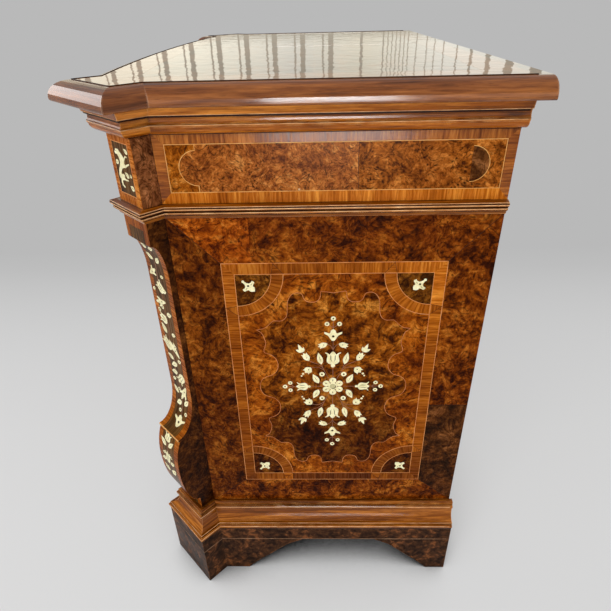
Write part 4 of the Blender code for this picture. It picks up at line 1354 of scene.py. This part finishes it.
def escutcheon(inlay, centre, size):
    """A bone keyhole plate."""
    def frame_of(points):
        return turned(points, 0.0, centre, size * MM)

    half = [(0, -19), (4, -14), (8, -11), (7, -6), (10, 0), (8, 6), (9, 11), (4, 13), (0, 19)]
    outline = half + [(-x, y) for x, y in half[-2:0:-1]]
    inlay.draw(smooth(outline, closed=True, steps=3), frame_of)
    inlay.engrave(disc((0.0, 2.5), 2.6, 12), frame_of)
    inlay.engrave([(-1.5, 2.0), (-2.2, -7.0), (2.2, -7.0), (1.5, 2.0)], frame_of)


def dress_drawer(name, knobs):
    """Crossbanded burr front with stringing, a keyhole plate and a spray round each knob."""
    low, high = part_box(f"{name}_front")
    bottom, top = low.z, high.z
    middle = (bottom + top) / 2
    bands = new_sheet()
    frame_of_band(bands, (-FRONT_HALF, bottom), (FRONT_HALF, top), FRONT_BAND, BAND_RISE)
    fit(bands, f"{name}_crossband", on_front, crossband, name, bow_cuts)
    inner_low, inner_high = shrunk((-FRONT_HALF, bottom), (FRONT_HALF, top), FRONT_BAND)
    field = new_sheet()
    lay(field, box_outline(inner_low, (0.0, inner_high[1])), VENEER_RISE, 0, (bottom * 9, 0.4))
    lay(field, box_outline((0.0, inner_low[1]), inner_high), VENEER_RISE, 0, (bottom * 9 + 0.05, 0.9))
    fit(field, f"{name}_field", on_front, field_burr, name, bow_cuts)
    lines = new_sheet()
    stroke(lines, box_outline(inner_low, inner_high), STRING_WIDTH, STRING_RISE, closed=True)
    inlay = Inlay()
    centre = new_sheet()
    if top - bottom > TALL_FRONT:
        for side in (1, -1):
            oval_line = oval((side * knobs, middle), OVAL_RADII, 0, 350, 35)
            lay(centre, oval_line, INSET_RISE, 0, (side * 2.0, bottom * 5))
            stroke(lines, oval_line, OVAL_STRING, STRING_RISE, closed=True)
            spray(inlay, (side * knobs, middle), SPRAY_SIZE, math.radians(90), flower=False)
        escutcheon(inlay, (0.0, middle + PLATE_LIFT), 1.0)
    else:
        shoulders = (inner_low[0] + END_INSET, inner_high[0] - END_INSET)
        ends = tablet_ends(inner_low[1], inner_high[1], *shoulders, END_RADIUS, middle)
        lay(centre, ends[0] + ends[1], INSET_RISE, 0, (1.5, bottom * 5))
        for end in ends:
            stroke(lines, end, END_STRING, STRING_RISE)
        escutcheon(inlay, (0.0, middle), 0.8)
    fit(centre, f"{name}_panels", on_front, centre_burr, name, bow_cuts)
    fit(lines, f"{name}_stringing", on_front, stringing, name, bow_cuts)
    inlay.fit(name, on_front, name, "burr_walnut", bow_cuts)


# Top
TOP_MARGIN = 0.001
TOP_BAND = 0.045
TOP_MIDDLE = 0.03


def reach_of(name):
    """How far a piece stands out from the carcass, read at its corner."""
    return (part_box(name)[1].x - SIDE_X - EAR_STEP) * SLANT


def top_line(inset):
    """A line round the top, the same distance inside its edge all the way."""
    return plan_line(reach_of("top_board") - inset, SIDE_BACK - inset)


TOP_GLOSS = (0.03, 0.06)
TOP_RIPPLE = 0.0005
TOP_STOPS = shades((0.05, 60, 26, 4), (0.4, 100, 48, 9), (0.68, 132, 70, 18), (0.97, 172, 106, 40))
top_burr = burr_veneer("top burr", TOP_STOPS, specular=1.0, gloss=TOP_GLOSS, ripple=TOP_RIPPLE)
top_ground = burr_veneer(
    "top ground", TOP_STOPS, specular=1.0, gloss=TOP_GLOSS, drawn=False, ripple=TOP_RIPPLE
)
top_band = straight_veneer(
    "top crossband",
    shades((0.15, 104, 50, 8), (0.5, 142, 76, 20), (0.85, 176, 108, 40)),
    specular=1.0, gloss=TOP_GLOSS,
    ripple=TOP_RIPPLE,
)
top_string = thin_line(
    "top stringing",
    shades((0.3, 150, 96, 48), (0.7, 190, 136, 80)),
    specular=1.0, gloss=TOP_GLOSS, ior=POLISH_IOR,
)


def dress_top():
    """Crossbanding and stringing round the top, over quartered burr."""
    inside = top_line(TOP_MARGIN + TOP_BAND)
    lay_alone("top_field", on_top, top_burr, "burr_walnut", inside, LET_IN, 0, (7.0, 0.3), [0.0])
    bands = new_sheet()
    stroke(bands, top_line(TOP_MARGIN + TOP_BAND / 2), TOP_BAND, LET_IN + HAIR, closed=True, crossed=True)
    fit(bands, "top_crossband", on_top, top_band, "carcass")
    lines = new_sheet()
    half, back = inside[0]
    front = min(y for x, y in inside)
    level = LET_IN + 2 * HAIR
    stroke(lines, inside, STRING_WIDTH, level, closed=True)
    stroke(lines, [(0.0, back), (0.0, front)], FINE_STRING, level)
    stroke(lines, [(half, TOP_MIDDLE), (-half, TOP_MIDDLE)], FINE_STRING, level)
    fit(lines, "top_stringing", on_top, top_string, "carcass")


# Boards of the back
BOARD_JOINTS = (-0.275, -0.105, 0.060, 0.250)


def on_back(s, t, h):
    """The flat back: across, height and out."""
    return Vector((-s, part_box("back_panel")[1].y + h, t))


def dress_back():
    """Joints between the upright boards of the back."""
    low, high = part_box("back_panel")
    joints = new_sheet()
    for across in BOARD_JOINTS:
        stroke(joints, [(across, low.z), (across, high.z)], STRING_WIDTH * 2, VENEER_RISE)
    fit(joints, "back_joints", on_back, joint_line, "carcass")


# Painted highlight and painted shade lines on the mouldings, as reach out from the carcass, height and width
CRESTS = [
    (0.0264, 0.1288, 0.0012), (0.0233, 0.1349, 0.0008), (0.0119, 0.1640, 0.0010), (0.0104, 0.7360, 0.0007),
    (0.0110, 0.7330, 0.0010), (0.0086, 0.7275, 0.0008), (0.0149, 0.8342, 0.0006), (0.0174, 0.8457, 0.0006),
]
QUIRKS = [
    (0.0085, 0.1575, 0.0018), (0.0244, 0.1204, 0.0010), (0.0052, 0.7243, 0.0016), (0.0085, 0.7301, 0.0010),
    (0.0110, 0.7346, 0.0008), (0.0158, 0.8441, 0.0018), (0.0130, 0.8318, 0.0008), (0.0012, 0.8220, 0.0010),
]
TOP_EDGE = 0.0009


def moulding_lines(name, lines, material, slot):
    """Thin lines all round the carcass."""
    for index, (reach, height, width) in enumerate(lines):
        line = plan_line(reach, SIDE_BACK)
        runs = lengths_along(line)
        strip = box_outline((0.0, height - width / 2), (runs[-1], height + width / 2))
        lay_alone(f"{name}_{index}", on_plan(line), material, slot, strip, LET_IN, cuts=runs)


def dress_mouldings():
    """Painted crest highlights, painted shade in the quirks and at the top's edge, and the plinth-to-feet
    joint.
    """
    moulding_lines("painted_crest_highlight", CRESTS, painted_crest_highlight, "polished_walnut")
    # A painted shadow line along the edge of the top.
    top_edge = (reach_of("top_board"), TOP_LEVEL + TOP_EDGE / 2, TOP_EDGE)
    moulding_lines("quirk", [*QUIRKS, top_edge], painted_quirk_shade, "polished_walnut")
    joint = (reach_of("plinth_frame"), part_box("plinth_frame")[0].z, STRING_WIDTH)
    moulding_lines("plinth_joint", [joint], pale_joint_line, "dark_walnut")


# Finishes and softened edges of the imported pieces

def finish_node(name, material, edge):
    """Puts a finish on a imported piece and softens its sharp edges."""
    piece = nodes[name]
    piece.data.materials.clear()
    piece.data.materials.append(material)
    if edge:
        soft = piece.modifiers.new("softened edges", "BEVEL")
        soft.width = edge
        soft.segments = 2
        soft.limit_method = "ANGLE"
        soft.angle_limit = math.radians(40)


# The first pattern that a piece's name matches gives its finish and the softness of its edges.
FINISHES = (
    ("top_board", top_ground, 0.0),
    ("top_nosing", nosing_walnut, 0.0008),
    ("cornice_moulding", cornice_walnut, 0.0006),
    ("*_moulding", moulding_walnut, 0.0006),
    ("plinth*", plinth_walnut, 0.0010),
    ("foot*", plinth_walnut, 0.0010),
    ("*knob*", brass, 0.0),
    ("scroll_pilaster*", scroll_burr, 0.0006),
    ("corner_post*", post_walnut, 0.0006),
    ("*rail", post_walnut, 0.0006),
    ("*_front", solid_burr, 0.0005),
    ("side_panel*", solid_burr, 0.0005),
    ("frieze_block*", solid_burr, 0.0005),
    ("back_panel", poplar_tall, 0.0004),
    ("*side*", poplar_deep, 0.0004),
    ("*runner*", poplar_deep, 0.0004),
    ("*", poplar_across, 0.0004),
)

for name in nodes:
    chosen = next(row for row in FINISHES if fnmatch.fnmatchcase(name, row[0]))
    finish_node(name, *chosen[1:])

KNOB_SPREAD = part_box("upper_drawer_knob_right")
knob_x = abs(KNOB_SPREAD[0].x + KNOB_SPREAD[1].x) / 2
for side, word in ((1, "right"), (-1, "left")):
    dress_side_panel(side, word)
    dress_frieze(side, word)
    dress_block(side, word)
    dress_scroll(side, word)
for name in ("frieze_drawer", "upper_drawer", "middle_drawer", "lower_drawer"):
    dress_drawer(name, knob_x)
dress_top()
dress_back()
dress_mouldings()


# Studio

def new_mesh(name, corners, faces, material):
    """A mesh object from its corners and faces."""
    mesh = bpy.data.meshes.new(name)
    mesh.from_pydata(corners, [], faces)
    item = bpy.data.objects.new(name, mesh)
    scene.collection.objects.link(item)
    item.data.materials.append(material)
    return item


BACKDROP = tone(185, 185, 185)
NEAR_FLOOR = tone(218, 218, 218)
PAPER = tone(228, 228, 228)
FLOOR_SIZE = 60.0
FLOOR_FALL = [(0.0, 1.0), (0.13, 0.89), (0.32, 0.60), (0.48, 0.39), (0.60, 0.26), (0.80, 0.09), (1.0, 0.0)]


def seen_directly(tree):
    """1 where the camera sees a surface, also in a mirror or through glass."""
    rays = node(tree, "LightPath").outputs
    seen = calc(tree, "MAXIMUM", rays["Is Camera Ray"], rays["Is Glossy Ray"])
    return calc(tree, "MAXIMUM", seen, rays["Is Transmission Ray"])


def studio_floor():
    """A pale floor that falls away to a grey backdrop behind the object, with its shadow and painted shadow
    close by.
    """
    made, tree = blank_material("studio floor")
    place = own_place(tree)
    depth = coordinate(tree, place, "X")
    stops = [(position, (level, level, level, 1.0)) for position, level in FLOOR_FALL]
    distant = ramped(tree, spread(tree, depth, -1.0, 0.4), stops)
    # Painted shadow, darkest under and beside the object, from ambient occlusion.
    near_by = node(tree, "AmbientOcclusion", {"Distance": 0.06}, samples=16).outputs["AO"]
    open_air = node(tree, "AmbientOcclusion", {"Distance": 0.35}, samples=16).outputs["AO"]
    painted_contact_shadow = spread(tree, near_by, 0.2, 0.9, 0.3, 1.0)
    painted_shadow = calc(tree, "MULTIPLY", painted_contact_shadow, spread(tree, open_air, 0.26, 0.55, 0.0, 1.0))
    shadowed_paper = blended(tree, 1.0, PAPER, painted_shadow, "MULTIPLY")
    paper = node(tree, "BsdfPrincipled", {"Base Color": shadowed_paper, "Roughness": 0.9, "Specular IOR Level": 0.1})
    grain = node(tree, "Bump", {"Height": noise(tree, place, 400.0), "Distance": 0.0002, "Strength": 0.1})
    tree.links.new(grain.outputs[0], paper.inputs["Normal"])
    glow = node(tree, "Emission", {"Color": blended(tree, distant, NEAR_FLOOR, BACKDROP), "Strength": 1.0})
    # The glow fades under and near the object, so that the painted and the lit shadow show.
    airy = calc(tree, "MULTIPLY", spread(tree, open_air, 0.3, 0.8), 0.75)
    steady = calc(tree, "MULTIPLY_ADD", distant, 0.25, airy)
    share = calc(tree, "MULTIPLY", steady, seen_directly(tree))
    share = calc(tree, "MULTIPLY", share, spread(tree, open_air, 0.05, 0.3))
    mixed = node(tree, "MixShader", {0: share, 1: paper.outputs[0], 2: glow.outputs[0]})
    node(tree, "OutputMaterial", {"Surface": mixed.outputs[0]})
    half = FLOOR_SIZE / 2
    corners = [(-half, -half, 0), (half, -half, 0), (half, half, 0), (-half, half, 0)]
    new_mesh("studio_floor", corners, [(0, 1, 2, 3)], made)


PANEL_LIGHT = 1.3
PANEL_STOPS = shades(
    (0.0, 255, 249, 226), (0.3, 255, 250, 230), (0.52, 222, 220, 208),
    (0.66, 226, 221, 202), (0.82, 240, 238, 226), (1.0, 240, 238, 226),
)
BACKING = tone(190, 183, 166)
BACKING_EDGES = ((-6.0, 0.9), (5.0, 0.9), (5.0, 2.4), (-6.0, 2.4))
BACKING_GAP = 0.05
PANEL_X = -3.0
PANEL_FOOT = 1.02
PANEL_HEAD = 2.0
PANEL_ENDS = (-3.4, 2.6)
PANEL_STEP = 0.202
WIDE_GAP = 0.037
NARROW_GAP = 0.013
FINE_GAP = 0.007
PAIR = 0.056


def panel_gaps():
    """Gaps between the panels, as their middle and width, in pairs on the left and fine on the right."""
    gaps = []
    for index in range(-1, 15):
        middle = -0.061 - PANEL_STEP * index
        gaps += [(middle - PAIR, NARROW_GAP), (middle, WIDE_GAP)]
    gaps += [(0.362, 0.019), (0.518, 0.010)]
    gaps += [(0.551 + 0.029 * index, FINE_GAP) for index in range(6)]
    gaps += [(0.757, FINE_GAP), (0.830, FINE_GAP), (0.886, FINE_GAP), (0.954, FINE_GAP), (1.050, 0.010)]
    gaps += [(1.156, 0.019), (1.282, 0.037), (1.442, 0.060), (1.640, 0.090), (1.900, 0.120), (2.200, 0.140)]
    return sorted(gaps)


def light_panels():
    """Tall pale panels behind the object, which the polished top mirrors."""
    made, tree = blank_material("pale panel")
    over = spread(tree, coordinate(tree, own_place(tree), "Y"), -2.0, 1.6)
    glow = node(tree, "Emission", {"Color": ramped(tree, over, PANEL_STOPS), "Strength": PANEL_LIGHT})
    node(tree, "OutputMaterial", {"Surface": glow.outputs[0]})
    corners = []
    faces = []
    left = PANEL_ENDS[0]
    for middle, width in [*panel_gaps(), (PANEL_ENDS[1], 0.0)]:
        right = middle - width / 2
        base = len(corners)
        corners += [(PANEL_X, left, PANEL_FOOT), (PANEL_X, right, PANEL_FOOT)]
        corners += [(PANEL_X, right, PANEL_HEAD), (PANEL_X, left, PANEL_HEAD)]
        faces.append((base, base + 1, base + 2, base + 3))
        left = middle + width / 2
    panels = new_mesh("light_panels", corners, faces, made)
    dim, tree = blank_material("dim backing")
    low_glow = node(tree, "Emission", {"Color": BACKING, "Strength": 1.0})
    node(tree, "OutputMaterial", {"Surface": low_glow.outputs[0]})
    edges = [(PANEL_X - BACKING_GAP, y, z) for y, z in BACKING_EDGES]
    backing = new_mesh("backing", edges, [(0, 1, 2, 3)], dim)
    for item in (panels, backing):
        item.visible_camera = False
        item.visible_diffuse = False
        item.visible_shadow = False


def soft_lamp(name, location, target, width, height, power, mirrored=True, only_mirrored=False):
    """A large soft lamp that faces a point, which polish mirrors or not, or which shows in polish alone."""
    lamp = bpy.data.lights.new(name, "AREA")
    lamp.shape = "RECTANGLE"
    lamp.size = width
    lamp.size_y = height
    lamp.energy = power
    item = bpy.data.objects.new(name, lamp)
    item.location = location
    item.rotation_euler = (Vector(target) - Vector(location)).to_track_quat("-Z", "Y").to_euler()
    item.visible_camera = False
    item.visible_glossy = mirrored
    item.visible_diffuse = not only_mirrored
    scene.collection.objects.link(item)


SKY_LIGHT = 0.35


def light_studio():
    """Grey surroundings, a lamp overhead, a pale wall and windows at the side, and a fill for the front."""
    surroundings = bpy.data.worlds.new("studio")
    surroundings.use_nodes = True
    tree = surroundings.node_tree
    sky = tree.nodes["Background"]
    sky.inputs["Color"].default_value = BACKDROP
    tree.links.new(spread(tree, seen_directly(tree), 0.0, 1.0, SKY_LIGHT, 1.0), sky.inputs["Strength"])
    scene.world = surroundings
    soft_lamp("overhead", (0.4, 0.0, 4.0), (0.4, 0.0, 0.0), 5.0, 5.0, 85.0, mirrored=False)
    soft_lamp("pale_wall", (3.4, 0.0, 0.95), (0.4, 0.0, 0.7), 6.0, 0.5, 9.0)
    soft_lamp("window", (3.1, 0.13, 1.0), (0.3, 0.03, 0.6), 0.8, 0.24, 16.0)
    soft_lamp("low_window", (3.1, 0.15, 0.32), (0.45, 0.05, 0.8), 0.85, 0.38, 12.0, only_mirrored=True)
    soft_lamp("corner_fill", (2.85, -1.3, 2.4), (0.3, -0.1, 0.4), 1.6, 1.4, 50.0, mirrored=False)
    soft_lamp("corner_glow", (2.2, -2.5, 2.4), (0.3, -0.1, 0.4), 1.8, 1.6, 15.0, only_mirrored=True)
    soft_lamp("front_fill", (-1.2, -3.6, 1.9), (0.0, 0.0, 0.5), 2.0, 1.6, 28.0)


CAMERA_PLACE = (1.0531, 0.031836, 0.9498)
CAMERA_YAW = 0.0294
CAMERA_PITCH = 0.545
CAMERA_ROLL = -0.0249
CAMERA_LENS = 29.444


def set_camera():
    """The photograph's viewpoint, solved from the side panel, the corner and the top."""
    ahead = Vector((-math.cos(CAMERA_YAW), -math.sin(CAMERA_YAW), 0.0))
    right = Vector((-math.sin(CAMERA_YAW), math.cos(CAMERA_YAW), 0.0))
    rise = Vector((0.0, 0.0, 1.0))
    look = ahead * math.cos(CAMERA_PITCH) - rise * math.sin(CAMERA_PITCH)
    up = ahead * math.sin(CAMERA_PITCH) + rise * math.cos(CAMERA_PITCH)
    tilted_right = right * math.cos(CAMERA_ROLL) + up * math.sin(CAMERA_ROLL)
    tilted_up = up * math.cos(CAMERA_ROLL) - right * math.sin(CAMERA_ROLL)
    lens = bpy.data.cameras.new("camera")
    lens.sensor_width = 36.0
    lens.lens = CAMERA_LENS
    lens.clip_start = 0.01
    camera = bpy.data.objects.new("camera", lens)
    facing = Matrix((tilted_right, tilted_up, -look)).transposed().to_4x4()
    camera.matrix_world = Matrix.Translation(CAMERA_PLACE) @ facing
    scene.collection.objects.link(camera)
    scene.camera = camera


studio_floor()
light_panels()
light_studio()
set_camera()
scene.view_settings.view_transform = "Standard"
